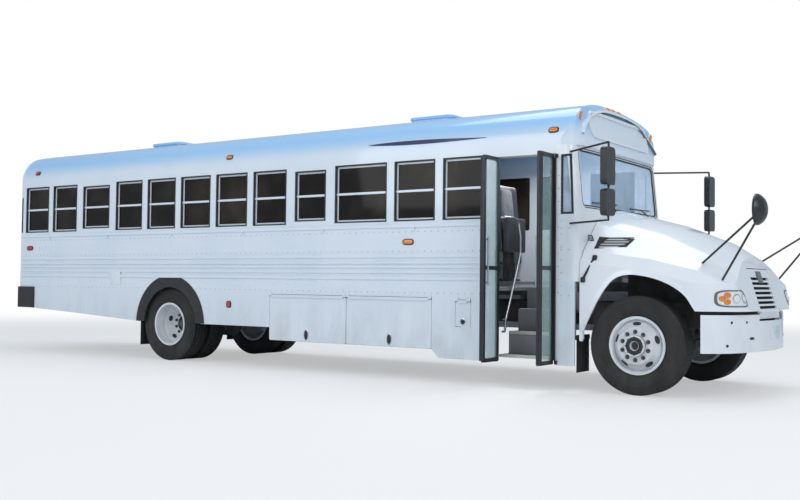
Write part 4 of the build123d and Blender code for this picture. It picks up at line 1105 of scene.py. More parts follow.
@dataclass
class SideDetail:
    """Rivets, laps, latches, vents, lamps and the stripe along the sides.

    A lamp's row gives its station, its height, its width and how tall it is. A latch's row gives
    its door, its station, its height and how tall it is.
    """

    rows: tuple[float, ...] = (1.74, 1.51, 1.02)
    pitch: float = 0.092
    rear: float = -10.2
    front: float = -0.3
    post_rivets: int = 20
    flat: float = HALF_WIDTH - 0.003
    lap_stations: tuple[float, ...] = (-9.6, -8.22, -6.85, -5.47, -4.1, -2.72)
    lap_bands: Line = ((1.75, 1.84), (1.53, 1.72), (1.04, 1.15))
    lap_half: float = 0.012
    amber_lamps: tuple[tuple[float, ...], ...] = (
        (-2.80, 1.62, 0.14, 0.05), (-0.92, 2.81, 0.10, 0.045), (-5.75, 2.81, 0.10, 0.045),
    )
    red_lamps: tuple[tuple[float, ...], ...] = (
        (-5.71, 0.82, 0.07, 0.07), (-9.95, 2.81, 0.10, 0.045), (-10.1, 1.62, 0.14, 0.05),
    )
    cowl_vents: Line = ((-0.46, 1.64), (-0.46, 1.53))
    fuel_flap: Line = ((-8.13, 1.06), (-7.90, 1.06), (-7.90, 1.25), (-8.13, 1.25))
    sliver: tuple[float, float] = (-3.41, 2.808)
    sliver_run: tuple[float, float] = (1.66, -0.022)
    sliver_half: float = 0.024
    latches: tuple[tuple[str, float, float, float], ...] = (
        ("luggage_door_front", -3.06, 0.46, 0.12), ("luggage_door_rear", -4.35, 0.46, 0.12),
        ("battery_door", -2.035, 0.70, 0.06),
    )

    def rivets(self, side: Side, skin: Skin) -> None:
        """Sets the rows of rivets on one side and a staggered row on its front post.

        Args:
            side: The side.
            skin: Its surface.
        """
        form = Form()
        count = int((self.front - self.rear) / self.pitch)
        spots = [(self.rear + self.pitch * i, up) for up in self.rows for i in range(count)]
        spots += [(-0.85 + 0.035 * (i % 2), 1.05 + 0.07 * i) for i in range(self.post_rivets)]
        for station, up in spots:
            spot, normal = skin.beside(side, station, up)
            if abs(spot.y) > self.flat and abs(normal.y) > 0.9:
                form.peg(spot - normal * 0.001, spot + normal * 0.003, 0.0085, 0.005, 8)
        # The rivets wear the darker finish that paints their shade.
        form.done(f"rivets_{side.name.lower()}", "coach", Palette.rivet, Slot.BODY)

    def laps(self, side: Side, skin: Skin) -> None:
        """Lays the thin laps where two side sheets meet.

        Args:
            side: The side.
            skin: Its surface.
        """
        form = Form()
        half = self.lap_half
        for station in self.lap_stations:
            for low, high in self.lap_bands:
                spot, normal = skin.beside(side, station, (low + high) / 2)
                if abs(spot.y) < self.flat:
                    continue
                corners = [(-half, low), (half, low), (half, high), (-half, high)]
                outline = [Vector((spot.x + far, spot.y, up)) + normal * 0.002 for far, up in corners]
                form.plate(outline, normal * -0.003)
        form.done(f"laps_{side.name.lower()}", "coach", Palette.body, Slot.BODY)

    @staticmethod
    def lamp(skin: Skin, side: Side, row: tuple[float, ...], glass: Form, bezel: Form) -> None:
        """Fits a rounded lamp in a black bezel on the surface.

        Args:
            skin: The surface.
            side: Its side.
            row: The lamp's station, height, width and how tall it is.
            glass: The form that its lens joins.
            bezel: The form that its bezel joins.
        """
        station, up, across, upright = row
        spot, normal = skin.beside(side, station, up)
        along = Vector((1, 0, 0))
        rise = normal.cross(along).normalized() * side.value
        for form, grow, tall in ((bezel, 0.012, 0.007), (glass, 0.0, 0.016)):
            corners = [
                spot + along * wide * (across / 2 + grow) + rise * high * (upright / 2 + grow)
                - normal * 0.004
                for wide, high in oval(20, 0.6)
            ]
            form.plate(corners, normal * (tall + 0.004), 0.003)

    @staticmethod
    def vent(vents: Form, spot: Vector, up: float, way: float) -> None:
        """Fits one small slatted vent beside the cowl.

        Args:
            vents: The form that it joins.
            spot: Its middle on the surface.
            up: Its height.
            way: 1 on the left, -1 on the right.
        """
        for i in range(4):
            level = up - 0.021 + 0.014 * i
            vents.box(
                Vector((spot.x - 0.05, spot.y, level - 0.003)),
                Vector((spot.x + 0.05, spot.y + way * 0.006, level + 0.003)),
            )
        outer = [(-0.05, -0.032), (0.07, -0.032), (0.05, 0.032), (-0.05, 0.032)]
        corners = [Vector((spot.x + far, spot.y, up + rise)) for far, rise in outer]
        inner = [Vector((spot.x + far * 0.82, spot.y, up + rise * 0.75)) for far, rise in outer]
        vents.ring(corners, inner, Vector((0, way * 0.008, 0)))

    def stripe(self, skin: Skin) -> None:
        """Lays the long thin stripe on the right shoulder of the roof.

        Args:
            skin: The right side's surface.
        """
        lower, upper = [], []
        for i in range(25):
            share = i / 24
            station = self.sliver[0] + self.sliver_run[0] * share
            middle = self.sliver[1] + self.sliver_run[1] * share
            half = self.sliver_half * math.sin(math.pi * share ** 0.8) + 0.0015
            lower.append((station, middle - half))
            upper.append((station, middle + half))
        form = Form()
        edges = [skin.drape(Side.RIGHT, line, 0.004) for line in (lower, upper)]
        form.ring(*edges, Vector((0, 0.005, -0.001)), closed=False)
        form.done("sliver_stripe", "coach", Palette.navy, Slot.BODY, smooth=False)

    def fittings(self, side: Side, skin: Skin) -> None:
        """Adds the lamps and vents of one side, and on the right its flap and its stripe.

        Args:
            side: The side.
            skin: Its surface.
        """
        hand = side.name.lower()
        amber, red, bezel, vents = Form(), Form(), Form(), Form()
        for form, lamps in ((amber, self.amber_lamps), (red, self.red_lamps)):
            for row in lamps:
                self.lamp(skin, side, row, form, bezel)
        for station, up in self.cowl_vents:
            spot, _ = skin.beside(side, station, up)
            if abs(spot.y) >= 0.9:
                self.vent(vents, spot, up, side.value)
        if side is Side.RIGHT:
            flap = Form()
            flap.plate(skin.drape(side, self.fuel_flap, 0.0), Vector((0, -0.006, 0)), 0.002)
            flap.done("fuel_flap", "coach", Palette.body, Slot.BODY)
            self.stripe(skin)
        amber.done(f"amber_lamps_{hand}", "coach", Palette.amber, Slot.LAMP)
        red.done(f"red_lamps_{hand}", "coach", Palette.red, Slot.LAMP)
        bezel.done(f"lamp_bezels_{hand}", "coach", Palette.black, Slot.BLACK)
        vents.done(f"cowl_vents_{hand}", "coach", Palette.black, Slot.BLACK)

    def door_latches(self) -> None:
        """Fits the sunk paddle latches on the luggage and battery doors."""
        for body, station, up, tall in self.latches:
            border, paddle = Form(), Form()
            spot, normal = Skin(body).beside(Side.RIGHT, station, up)
            for form, grow, proud in ((border, 0.010, 0.004), (paddle, 0.0, 0.008)):
                corners = [
                    spot + Vector((wide * (0.028 + grow), 0, high * (tall / 2 + grow))) - normal * 0.002
                    for wide, high in oval(20, 1.0)
                ]
                form.plate(corners, normal * (proud + 0.002), 0.002)
            low, high = Vector((-0.016, -0.004, -tall / 4)), Vector((0.016, -0.013, tall / 4))
            paddle.box(spot + low, spot + high, 0.002)
            border.done(f"{body}_latch_border", body, Palette.steel, Slot.WHEEL)
            paddle.done(f"{body}_latch", body, Palette.black, Slot.BLACK)

    def build(self) -> None:
        """Builds both sides."""
        for side in Side:
            sides = [f"{side.name.lower()}_{part}" for part in ("side", "skirt")]
            skin = Skin(*sides, "roof", "hatch_panels", "cab_front", "front_cap")
            self.rivets(side, skin)
            self.laps(side, skin)
            self.fittings(side, skin)
        self.door_latches()


@dataclass
class Front:
    """The grille, lamps, sign panel, brow, gaskets, wipers and mirrors at the front.

    The windshield's and the sign's shapes give half the width, the lower edge, the upper edge and
    the corner radius. A lamp's or a hole's row gives its distance left, its height and its size. The
    badge panel's rows give half the width, both edges, the depth and the radius of the edges. A
    wiper's row gives both ends of its blade and its pivot, as distances left.
    """

    grille_half: float = 0.394
    slot_half: float = 0.335
    slot_low: float = 0.905
    slot_pitch: float = 0.05
    slots: int = 7
    slot_height: float = 0.029
    grille_top: float = 1.322
    grille_base: float = 0.868
    grille_foot: float = 0.802
    grille_x: float = 1.040
    grille_lean: float = 0.143
    rib_pitch: float = 0.058
    rib_half: float = 0.003
    badge: tuple[tuple[float, ...], ...] = (
        (0.09, 1.175, 1.30, -0.008, 0.006), (0.075, 1.19, 1.285, -0.011, 0.003),
    )
    headlamp: tuple[float, float] = (0.9625, 1.015)
    headlamp_half: tuple[float, float] = (0.1605, 0.079)
    reflectors: Line = ((0.862, 0.052), (0.972, 0.048))
    lobes: Line = ((1.052, 1.048), (1.052, 0.982), (1.085, 1.015))
    bumper_holes: tuple[tuple[float, ...], ...] = (
        (0.96, 0.775, 0.03), (0.72, 0.775, 0.03), (0.62, 0.61, 0.10), (1.01, 0.545, 0.035),
    )
    screen_shape: tuple[float, ...] = (1.09, 1.985, 2.6, 0.06)
    wipers: tuple[tuple[float, ...], ...] = ((-0.85, -0.2, -0.15), (0.2, 0.85, 0.88))
    wiper_heights: tuple[float, float] = (2.035, 2.05)
    wiper_pivot: float = 1.93
    sign_shape: tuple[float, ...] = (0.86, 2.755, 3.06, 0.11)
    brow_half: float = 1.08
    brow_crest: float = 3.135
    brow_drop: float = 0.33
    brow_power: float = 3.2
    crown_lamps: tuple[tuple[float, ...], ...] = (
        (-0.16, 3.165, 0.11, 0.035), (0.0, 3.17, 0.11, 0.035), (0.16, 3.165, 0.11, 0.035),
        (-1.04, 2.97, 0.06, 0.1), (1.04, 2.97, 0.06, 0.1),
    )
    vent: Line = ((-0.50, 1.52), (-0.17, 1.54), (-0.13, 1.625), (-0.50, 1.655))
    arch: Line = (
        (-0.575, 0.56), (-0.575, 0.645), (-0.36, 1.075), (-0.17, 1.262), (0.21, 1.222), (0.505, 1.075),
        (0.612, 0.90),
    )
    arch_middle: tuple[float, float] = (0.02, 0.60)
    arch_low: float = 0.56
    lip_grow: float = 1.085
    lip_least: float = 1.09
    lip_depth: float = 0.022
    quarter: tuple[Line, Line] = (
        ((-0.822, 1.893), (-0.672, 1.893), (-0.70, 2.537), (-0.822, 2.537)),
        ((-0.800, 1.915), (-0.697, 1.915), (-0.722, 2.515), (-0.800, 2.515)),
    )

    def face(self, left: float, up: float, depth: float = 0.0) -> Vector:
        """Finds a point of the leaning grille.

        Args:
            left: Its distance left.
            up: Its height.
            depth: How far it lies behind the grille's face.

        Returns:
            The point.
        """
        lean = max(0.0, up - self.grille_base) / (self.grille_top - self.grille_base)
        return at(self.grille_x - self.grille_lean * lean - depth, left, up)

    def slab(
        self, form: Form, edges: tuple[float, float], levels: tuple[float, float], depth: float = 0.0,
        thick: float = 0.03, rounding: float = 0.003,
    ) -> None:
        """Adds one slab of the grille between four edges.

        Args:
            form: The form that it joins.
            edges: Its side edges, as distances left.
            levels: Its lower and its upper edge.
            depth: How far its front lies behind the grille's face.
            thick: Its thickness.
            rounding: The radius of its edges.
        """
        (right, left), (low, high) = edges, levels
        places = ((right, low), (left, low), (left, high), (right, high))
        form.plate([self.face(*place, depth) for place in places], Vector((-thick, 0, 0)), rounding)

    def grille(self) -> None:
        """Builds the slotted shield with its ribs, its dark backing and its bare badge panel."""
        shield, backing, ribs, panel = Form(), Form(), Form(), Form()
        top = self.slot_low + self.slot_pitch * (self.slots - 1) + self.slot_height
        whole = (-self.grille_half, self.grille_half)
        slot = (-self.slot_half, self.slot_half)
        self.slab(shield, whole, (self.grille_foot, self.grille_base), 0.004)
        self.slab(shield, whole, (self.grille_base, self.slot_low))
        self.slab(shield, whole, (top, self.grille_top))
        for side in Side:
            near, far = sorted((side.value * self.slot_half, side.value * self.grille_half))
            self.slab(shield, (near, far), (self.slot_low, top))
        for i in range(self.slots - 1):
            low = self.slot_low + self.slot_pitch * i + self.slot_height
            high = self.slot_low + self.slot_pitch * (i + 1)
            self.slab(shield, slot, (low, high), -0.004, 0.034, 0.005)
        behind = (-self.slot_half - 0.02, self.slot_half + 0.02)
        self.slab(backing, behind, (self.slot_low - 0.02, top + 0.02), 0.034, 0.004, 0.0)
        for i in range(-5, 6):
            edges = (self.rib_pitch * i - self.rib_half, self.rib_pitch * i + self.rib_half)
            self.slab(ribs, edges, (self.slot_low, top), 0.012, 0.018, 0.0)
        for half, low, high, depth, rounding in self.badge:
            self.slab(panel, (-half, half), (low, high), depth, 0.02, rounding)
        piece = shield.done("grille_shield", "hood", Palette.nose, Slot.GRILLE)
        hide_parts("grille")
        backing.done("grille_backing", "hood", Palette.gasket, Slot.BLACK, smooth=False)
        ribs.done("grille_ribs", "hood", Palette.black, Slot.BLACK, smooth=False)
        panel.done("badge_panel", "hood", Palette.trim, Slot.GRILLE)

    def headlamps(self) -> None:
        """Fits bezels, reflectors and the two amber lobes to both headlamps."""
        lens = Skin("headlamps")
        around = Skin("hood", "headlamps")
        bezel, reflector, glass, amber = Form(), Form(), Form(), Form()
        for side in Side:
            edges = []
            for grow in (0.007, -0.007):
                half, rise = self.headlamp_half[0] + grow, self.headlamp_half[1] + grow
                outline = [
                    (side.value * (self.headlamp[0] + wide * half), self.headlamp[1] + tall * rise)
                    for wide, tall in oval(32, 0.45)
                ]
                edges.append(around.face(outline, 0.004))
            bezel.ring(*edges, Vector((-0.007, -side.value * 0.004, 0)))
            for left, radius in self.reflectors:
                spot, normal = lens.before(side.value * left, self.headlamp[1])
                reflector.pad(spot, normal, (radius * 2, radius * 2), 0.005, 1.0)
                for lift, size in ((0.004, radius * 1.5), (0.008, radius * 0.6)):
                    glass.pad(spot + normal * lift, normal, (size, size), 0.006, 1.0)
            for left, up in self.lobes:
                spot, normal = lens.before(side.value * left, up)
                amber.pad(spot, normal, (0.074, 0.058), 0.006, 0.9)
        bezel.done("headlamp_bezels", "hood", Palette.trim, Slot.BLACK)
        reflector.done("headlamp_reflectors", "hood", Palette.chrome, Slot.LAMP)
        glass.done("headlamp_bulbs", "hood", Palette.lamp, Slot.LAMP)
        amber.done("turn_lobes", "hood", Palette.amber, Slot.LAMP)

    def bumper(self) -> None:
        """Sets the bumper's holes and its blank plate with four bolts."""
        skin = Skin("front_bumper")
        holes, plate, bolts = Form(), Form(), Form()
        for left, up, wide in self.bumper_holes:
            for side in Side:
                spot, normal = skin.before(side.value * left, up)
                holes.pad(spot, normal, (wide, 0.03), 0.0015, 1.0)
        spot, normal = skin.before(0.0, 0.655)
        plate.pad(spot, normal, (0.31, 0.155), 0.004, 0.12)
        for left in (-0.09, 0.09):
            for up in (-0.06, 0.06):
                foot = spot + Vector((0.003, left, up))
                bolts.peg(foot, foot + Vector((0.005, 0, 0)), 0.006, sides=6)
        holes.done("bumper_holes", "coach", Palette.gasket, Slot.BLACK)
        plate.done("blank_plate", "coach", Palette.body, Slot.BODY)
        bolts.done("plate_bolts", "coach", Palette.steel, Slot.WHEEL)

    def screen(self) -> None:
        """Seals the windshield and hangs its wipers."""
        skin = Skin("windshield", "cab_front")
        seal, wiper = Form(), Form()
        edges = [skin.face(rounded(*self.screen_shape, grow), 0.005) for grow in (0.018, -0.016)]
        seal.ring(*edges, Vector((-0.008, 0, 0)))
        for first, last, pivot in self.wipers:
            ends = [
                skin.before(left, up)[0] + Vector((0.014, 0, 0))
                for left, up in zip((first, last), self.wiper_heights)
            ]
            wiper.peg(ends[0], ends[1], 0.008, sides=8)
            foot = skin.before(pivot, self.wiper_pivot)[0]
            wiper.peg(foot, foot + Vector((0.03, 0, 0.0)), 0.016, sides=12)
            middle = (ends[0] + ends[1]) / 2 + Vector((0.008, 0, 0))
            wiper.peg(foot + Vector((0.024, 0, 0)), middle, 0.007, sides=8)
        seal.done("windshield_seal", "coach", Palette.gasket, Slot.BLACK)
        wiper.done("wipers", "coach", Palette.black, Slot.BLACK)

    def brow(self) -> None:
        """Builds the bare sign panel, the eyebrow over it with a dark strip beneath as painted shadow, and
        the marker lamps.
        """
        skin = Skin("front_cap", "cab_front")
        frame_form, panel, eyebrow, shade = Form(), Form(), Form(), Form()
        edges = [skin.face(rounded(*self.sign_shape, grow), 0.022) for grow in (0.0, -0.03)]
        frame_form.ring(*edges, Vector((-0.024, 0, 0)))
        panel.plate(skin.face(rounded(*self.sign_shape, -0.028), 0.004), Vector((-0.006, 0, 0)))
        upper, lower, dark_low = [], [], []
        rows = ((upper, 0.0, 0.03), (lower, 0.028, 0.034), (dark_low, 0.045, 0.002))
        for i in range(41):
            left = -self.brow_half + 2 * self.brow_half * i / 40
            up = self.brow_crest - self.brow_drop * (abs(left) / self.brow_half) ** self.brow_power
            least = skin.before(left, 2.9)[0].x - 0.07
            for row, drop, lift in rows:
                spot, _ = skin.before(left, up - drop)
                row.append(Vector((max(spot.x, least), left, up - drop)) + Vector((lift, 0, 0)))
        eyebrow.ring(upper, lower, Vector((-0.032, 0, 0)), closed=False)
        # A dark strip under the eyebrow's lip: painted shadow.
        shade.ring(lower, dark_low, Vector((-0.004, 0, 0)), closed=False)
        frame_form.done("sign_frame", "coach", Palette.roof_trim, Slot.BODY)
        panel.done("sign_panel", "coach", Palette.body, Slot.BODY)
        eyebrow.done("eyebrow", "coach", Palette.roof_trim, Slot.BODY)
        shade.done("eyebrow_shade", "coach", Palette.trim, Slot.BLACK)
        amber, bezel = Form(), Form()
        for left, up, wide, tall in self.crown_lamps:
            spot, normal = skin.before(left, up)
            bezel.pad(spot, normal, (wide + 0.024, tall + 0.024), 0.008, 0.6)
            amber.pad(spot, normal, (wide, tall), 0.02, 0.6)
        amber.done("crown_lamps", "coach", Palette.amber, Slot.LAMP)
        bezel.done("crown_lamp_bezels", "coach", Palette.roof_trim, Slot.BODY)

    def hood_sides(self) -> None:
        """Lays the slatted side vents on the hood and fits its rubber latches."""
        skin = Skin("hood")
        for side in Side:
            hand = side.name.lower()
            vent, slats, latch = Form(), Form(), Form()
            vent.plate(skin.drape(side, self.vent, 0.003), Vector((0, -side.value * 0.008, -0.004)))
            for i in range(4):
                up, front = 1.542 + 0.028 * i, -0.175 + 0.01 * i
                strip = ((-0.485, up), (front, up + 0.002), (front, up + 0.012), (-0.485, up + 0.012))
                slats.plate(skin.drape(side, strip, 0.012), Vector((0, -side.value * 0.01, 0)))
            top, foot = [skin.beside(side, station, up) for station, up in ((-0.46, 1.42), (-0.575, 1.19))]
            latch.peg(top[0] + top[1] * 0.014, foot[0] + foot[1] * 0.014, 0.013, sides=10)
            for spot, normal in (top, foot):
                latch.pad(spot, normal, (0.05, 0.06), 0.016, 0.4)
            vent.done(f"vent_{hand}", "hood", Palette.gasket, Slot.BLACK, smooth=False)
            slats.done(f"vent_slats_{hand}", "hood", Palette.black, Slot.BLACK, smooth=False)
            latch.done(f"hood_latch_{hand}", "hood", Palette.gasket, Slot.BLACK)

    def fender_lips(self) -> None:
        """Lays a smooth flange around both front wheel arches."""
        skin = Skin("hood")
        grown = [
            tuple(middle + (far - middle) * self.lip_grow for far, middle in zip(corner, self.arch_middle))
            for corner in self.arch
        ]
        lip = Form()
        for side in Side:
            outer, inner = [], []
            for near, far in zip(softened(self.arch), softened(grown)):
                spot, _ = skin.beside(side, far[0], max(far[1], self.arch_low))
                left = side.value * max(abs(spot.y), self.lip_least)
                outer.append(at(far[0], left + side.value * 0.002, far[1]))
                inner.append(at(near[0], left + side.value * 0.010, near[1]))
            lip.ring(outer, inner, Vector((0, -side.value * self.lip_depth, 0)), closed=False)
        lip.done("fender_lips", "hood", Palette.nose, Slot.BODY)

    def quarter_seals(self) -> None:
        """Seals the small panes behind the windshield's posts."""
        seal = Form()
        for side in Side:
            left = side.value * (HALF_WIDTH + 0.003)
            edges = [[at(far, left, up) for far, up in line] for line in self.quarter]
            seal.ring(*edges, Vector((0, -side.value * 0.014, 0)))
        seal.done("quarter_seals", "coach", Palette.gasket, Slot.BLACK)

    def mirrors(self) -> None:
        """Gives the mirror heads their faces."""
        skin = Skin("view_mirrors", "crossview_mirrors")
        side_glass, round_glass = Form(), Form()
        for side in Side:
            for up, tall in ((2.37, 0.32), (1.99, 0.21)):
                spot, normal = skin.hit(at(-3.0, side.value * 1.62, up), Vector((1, 0, 0)))
                side_glass.pad(spot, normal, (0.17, tall), 0.003, 0.3)
            spot, normal = skin.hit(at(0.2, side.value * 1.3, 1.87), Vector((1, 0, 0)))
            round_glass.pad(spot, normal, (0.25, 0.25), 0.004, 1.0)
        side_glass.done("mirror_faces", "coach", Palette.chrome, Slot.LAMP)
        round_glass.done("round_mirror_faces", "hood", Palette.chrome, Slot.LAMP)

    def build(self) -> None:
        """Builds the whole front."""
        self.grille()
        self.headlamps()
        self.bumper()
        self.screen()
        self.brow()
        self.hood_sides()
        self.fender_lips()
        self.quarter_seals()
        self.mirrors()


@dataclass
class Entry:
    """Step nosings, treads, grab rail, leaf seals and the track over the leaves.

    A leaf's row gives its body, the station of its free edge and the way to its handle.
    """

    treads: Line = ((-1.16, 0.35), (-0.94, 0.60), (-0.70, 0.85), (-0.48, 1.06))
    rear: float = -1.585
    front: float = -0.895
    rail_x: float = -1.565
    rail: Line = (
        (-1.12, 1.885), (-0.99, 1.89), (-0.88, 1.89), (-0.78, 1.83), (-0.735, 1.70), (-0.73, 1.50),
        (-0.80, 1.32), (-1.07, 0.741), (-1.09, 0.60),
    )
    rail_radius: float = 0.014
    handle_y: float = -1.54
    handle_heights: tuple[float, float] = (1.15, 1.62)
    leaves: tuple[tuple[str, float, float], ...] = (
        ("entry_leaf_front", -0.898, -0.03), ("entry_leaf_rear", -1.582, 0.03),
    )

    def build(self) -> None:
        """Builds the fittings of the entry."""
        nosing, tread, rail, track = Form(), Form(), Form(), Form()
        for i, (edge, up) in enumerate(self.treads):
            nosing.box(at(self.rear, edge - 0.004, up - 0.03), at(self.front, edge + 0.03, up + 0.006), 0.003)
            if i == len(self.treads) - 1:
                continue
            for j in range(6):
                left = edge + 0.045 + 0.026 * j
                tread.box(at(self.rear, left, up - 0.001), at(self.front, left + 0.012, up + 0.004), 0.0015)
        points = [at(self.rail_x, *point) for point in self.rail]
        for first, second in zip(points, points[1:]):
            rail.peg(first, second, self.rail_radius, sides=12)
        for left, up in (self.rail[0], self.rail[-2], self.rail[-1]):
            rail.peg(at(self.rail_x, left, up), at(self.rail_x - 0.036, left, up), 0.012, sides=12)
        for point in points[1:-1]:
            bmesh.ops.create_icosphere(
                rail.mesh, subdivisions=2, radius=self.rail_radius + 0.0002, matrix=Matrix.Translation(point)
            )
        track.box(at(self.rear, -1.19, 2.545), at(self.front, -1.12, 2.60), 0.004)
        track.box(at(self.rear, -1.215, 2.62), at(self.front, -1.205, 2.66), 0.002)
        nosing.done("step_nosings", "coach", Palette.cream, Slot.FLOOR)
        tread.done("step_treads", "coach", Palette.gasket, Slot.FLOOR)
        rail.done("grab_rail", "coach", Palette.chrome, Slot.WHEEL)
        track.done("door_track", "coach", Palette.cream, Slot.BODY)
        for name, station, inside in self.leaves:
            seal, handle = Form(), Form()
            seal.box(at(station - 0.028, -1.585, 0.30), at(station + 0.028, -1.555, 2.52), 0.003)
            grip = station + inside * 1.7
            left = self.handle_y
            for up in self.handle_heights:
                handle.peg(at(station, left, up), at(grip, left, up), 0.008, sides=8)
            foot, tip = [at(grip, left, up) for up in (1.12, 1.65)]
            handle.peg(foot, tip, 0.010, sides=10)
            seal.done(f"{name}_seal", name, Palette.gasket, Slot.BLACK)
            handle.done(f"{name}_handle", name, Palette.chrome, Slot.WHEEL)


@dataclass
class Seats:
    """Padded benches and the two tall seats by the entry."""

    bench_cuts: int = 7
    tall_cuts: int = 13
    grey_cuts: int = 8
    floor: float = 1.172

    @staticmethod
    def pad(
        form: Form, low: Vector, high: Vector, lean: float, crown: float, channels: float, cuts: int,
        bolster: float = 0.0, upright: bool = True,
    ) -> None:
        """Adds one pad: a block cut fine, rounded and moved into shape.

        Args:
            form: The form that it joins.
            low: Lowest corner of its block, foot end before it leans.
            high: Highest corner.
            lean: How far its top goes back.
            crown: How far its face swells.
            channels: How deep its stitched channels are.
            cuts: Cuts along each edge.
            bolster: How far its edges stand forward.
            upright: Whether it is a back, with its face forward, or a cushion, with its face up.
        """
        middle, size = (low + high) / 2, (high - low) / 2
        scale = Matrix.Diagonal((size.x * 2, size.y * 2, size.z * 2, 1.0))
        before = len(form.mesh.verts)
        made = bmesh.ops.create_cube(form.mesh, size=1.0, matrix=Matrix.Translation(middle) @ scale)
        edges = list({edge for vert in made["verts"] for edge in vert.link_edges})
        bmesh.ops.subdivide_edges(form.mesh, edges=edges, cuts=cuts, use_grid_fill=True)
        form.mesh.verts.ensure_lookup_table()
        verts = form.mesh.verts[before:]
        for _ in range(2):
            bmesh.ops.smooth_vert(
                form.mesh, verts=verts, factor=0.5, use_axis_x=True, use_axis_y=True, use_axis_z=True
            )
        for vert in verts:
            far = vert.co - middle
            share = Vector((far.x / size.x, far.y / size.y, far.z / size.z))
            long = share.z if upright else share.x
            face = share.x if upright else share.z
            swell = (1 - long * long) * (1 - share.y * share.y) * crown
            groove = channels * abs(math.sin(math.pi * 3.0 * share.y)) ** 0.5
            rim = bolster * max(0.0, abs(share.y) - 0.55) / 0.45
            push = (swell + groove + rim) * (0.5 + 0.5 * face)
            if upright:
                vert.co.x += push - crown - channels - bolster
                vert.co.x -= lean * (vert.co.z - low.z) / (high.z - low.z)
            else:
                vert.co.z += push - crown - channels - bolster

    def benches(self) -> None:
        """Builds every passenger bench with its legs."""
        cloth, legs = Form(), Form()
        for low, high in pane_boxes("passenger_seats"):
            rear = low.x + 0.115
            start, end = low.y + 0.01, high.y - 0.01
            self.pad(
                cloth, Vector((rear, start, 1.50)), Vector((rear + 0.11, end, high.z - 0.01)),
                0.09, 0.012, 0.004, self.bench_cuts,
            )
            self.pad(
                cloth, Vector((rear + 0.04, start, 1.42)), Vector((high.x - 0.005, end, 1.585)),
                0.0, 0.015, 0.0, self.bench_cuts, upright=False,
            )
            for left in (low.y + 0.12, high.y - 0.12):
                for far in (low.x + 0.17, high.x - 0.08):
                    legs.peg(Vector((far, left, self.floor)), Vector((far, left, 1.45)), 0.014, sides=8)
        piece = cloth.done("bench_cushions", "coach", Palette.seat, Slot.SEAT)
        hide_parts("passenger_seats")
        legs.done("bench_legs", "coach", Palette.chassis, Slot.CHASSIS)

    @staticmethod
    def covers(name: str, black: Form, grey: Form, node: str | None = None) -> None:
        """Hands over a tall seat's black bolsters and its grey middle.

        Args:
            name: The start of both pieces' names.
            black: The bolsters.
            grey: The middle.
            node: The CAD node that the bolsters stand in for, if any.
        """
        for form, tag, finish in ((black, "bolsters", Palette.seat), (grey, "middle", Palette.cloth)):
            piece = form.done(f"{name}_{tag}", "coach", finish, Slot.SEAT)
            if node and form is black:
                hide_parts(node)

    def tall(self, station: float, left: float) -> None:
        """Builds the driver's seat with a grey middle and black bolsters, on its pedestal.

        Args:
            station: The seat's distance forward of the front axle.
            left: Its distance left.
        """
        black, grey, post = Form(), Form(), Form()

        def spot(far: float, across: float, up: float) -> Vector:
            """Turns a place given from the seat's foot into a point.

            Args:
                far: Its distance forward of the foot.
                across: Its distance left of the foot.
                up: Its height above the floor.

            Returns:
                The point.
            """
            return at(station + far, left + across, self.floor + up)

        self.pad(
            black, spot(-0.13, -0.24, 0.42), spot(0.37, 0.24, 0.56), 0.0, 0.0, 0.0, self.tall_cuts,
            0.03, upright=False,
        )
        self.pad(
            black, spot(-0.14, -0.235, 0.52), spot(-0.02, 0.235, 1.16), 0.10, 0.0, 0.0, self.tall_cuts,
            0.035,
        )
        self.pad(
            grey, spot(-0.03, -0.13, 0.46), spot(0.34, 0.13, 0.565), 0.0, 0.012, 0.0, self.grey_cuts,
            upright=False,
        )
        self.pad(
            grey, spot(-0.10, -0.13, 0.56), spot(-0.012, 0.13, 1.12), 0.092, 0.012, 0.004, self.grey_cuts
        )
        post.box(spot(-0.05, -0.11, 0.001), spot(0.25, 0.11, 0.04), 0.006)
        post.box(spot(0.02, -0.07, 0.03), spot(0.18, 0.07, 0.43), 0.01)
        self.covers("driver_seat", black, grey, "driver_seat")
        post.done("driver_seat_pedestal", "coach", Palette.chassis, Slot.CHASSIS)

    def folded(self) -> None:
        """Builds the guide's seat by the entry, with its cushion folded up."""
        black, grey, post = Form(), Form(), Form()
        self.pad(black, at(-1.79, -0.97, 1.50), at(-1.67, -0.49, 2.28), 0.08, 0.0, 0.0, self.tall_cuts, 0.035)
        self.pad(
            grey, at(-1.77, -0.86, 1.54), at(-1.664, -0.60, 2.24), 0.075, 0.012, 0.004, self.grey_cuts
        )
        self.pad(
            black, at(-1.665, -0.95, 1.50), at(-1.60, -0.51, 1.90), 0.0, 0.01, 0.0, self.grey_cuts
        )
        post.box(at(-1.76, -0.80, 1.171), at(-1.68, -0.66, 1.54), 0.008)
        post.box(at(-1.80, -0.86, 1.171), at(-1.63, -0.60, 1.195), 0.005)
        self.covers("guide_seat", black, grey)
        post.done("guide_seat_post", "coach", Palette.chassis, Slot.CHASSIS)

    def build(self) -> None:
        """Builds all seats."""
        self.benches()
        self.tall(-1.50, 0.62)
        self.folded()


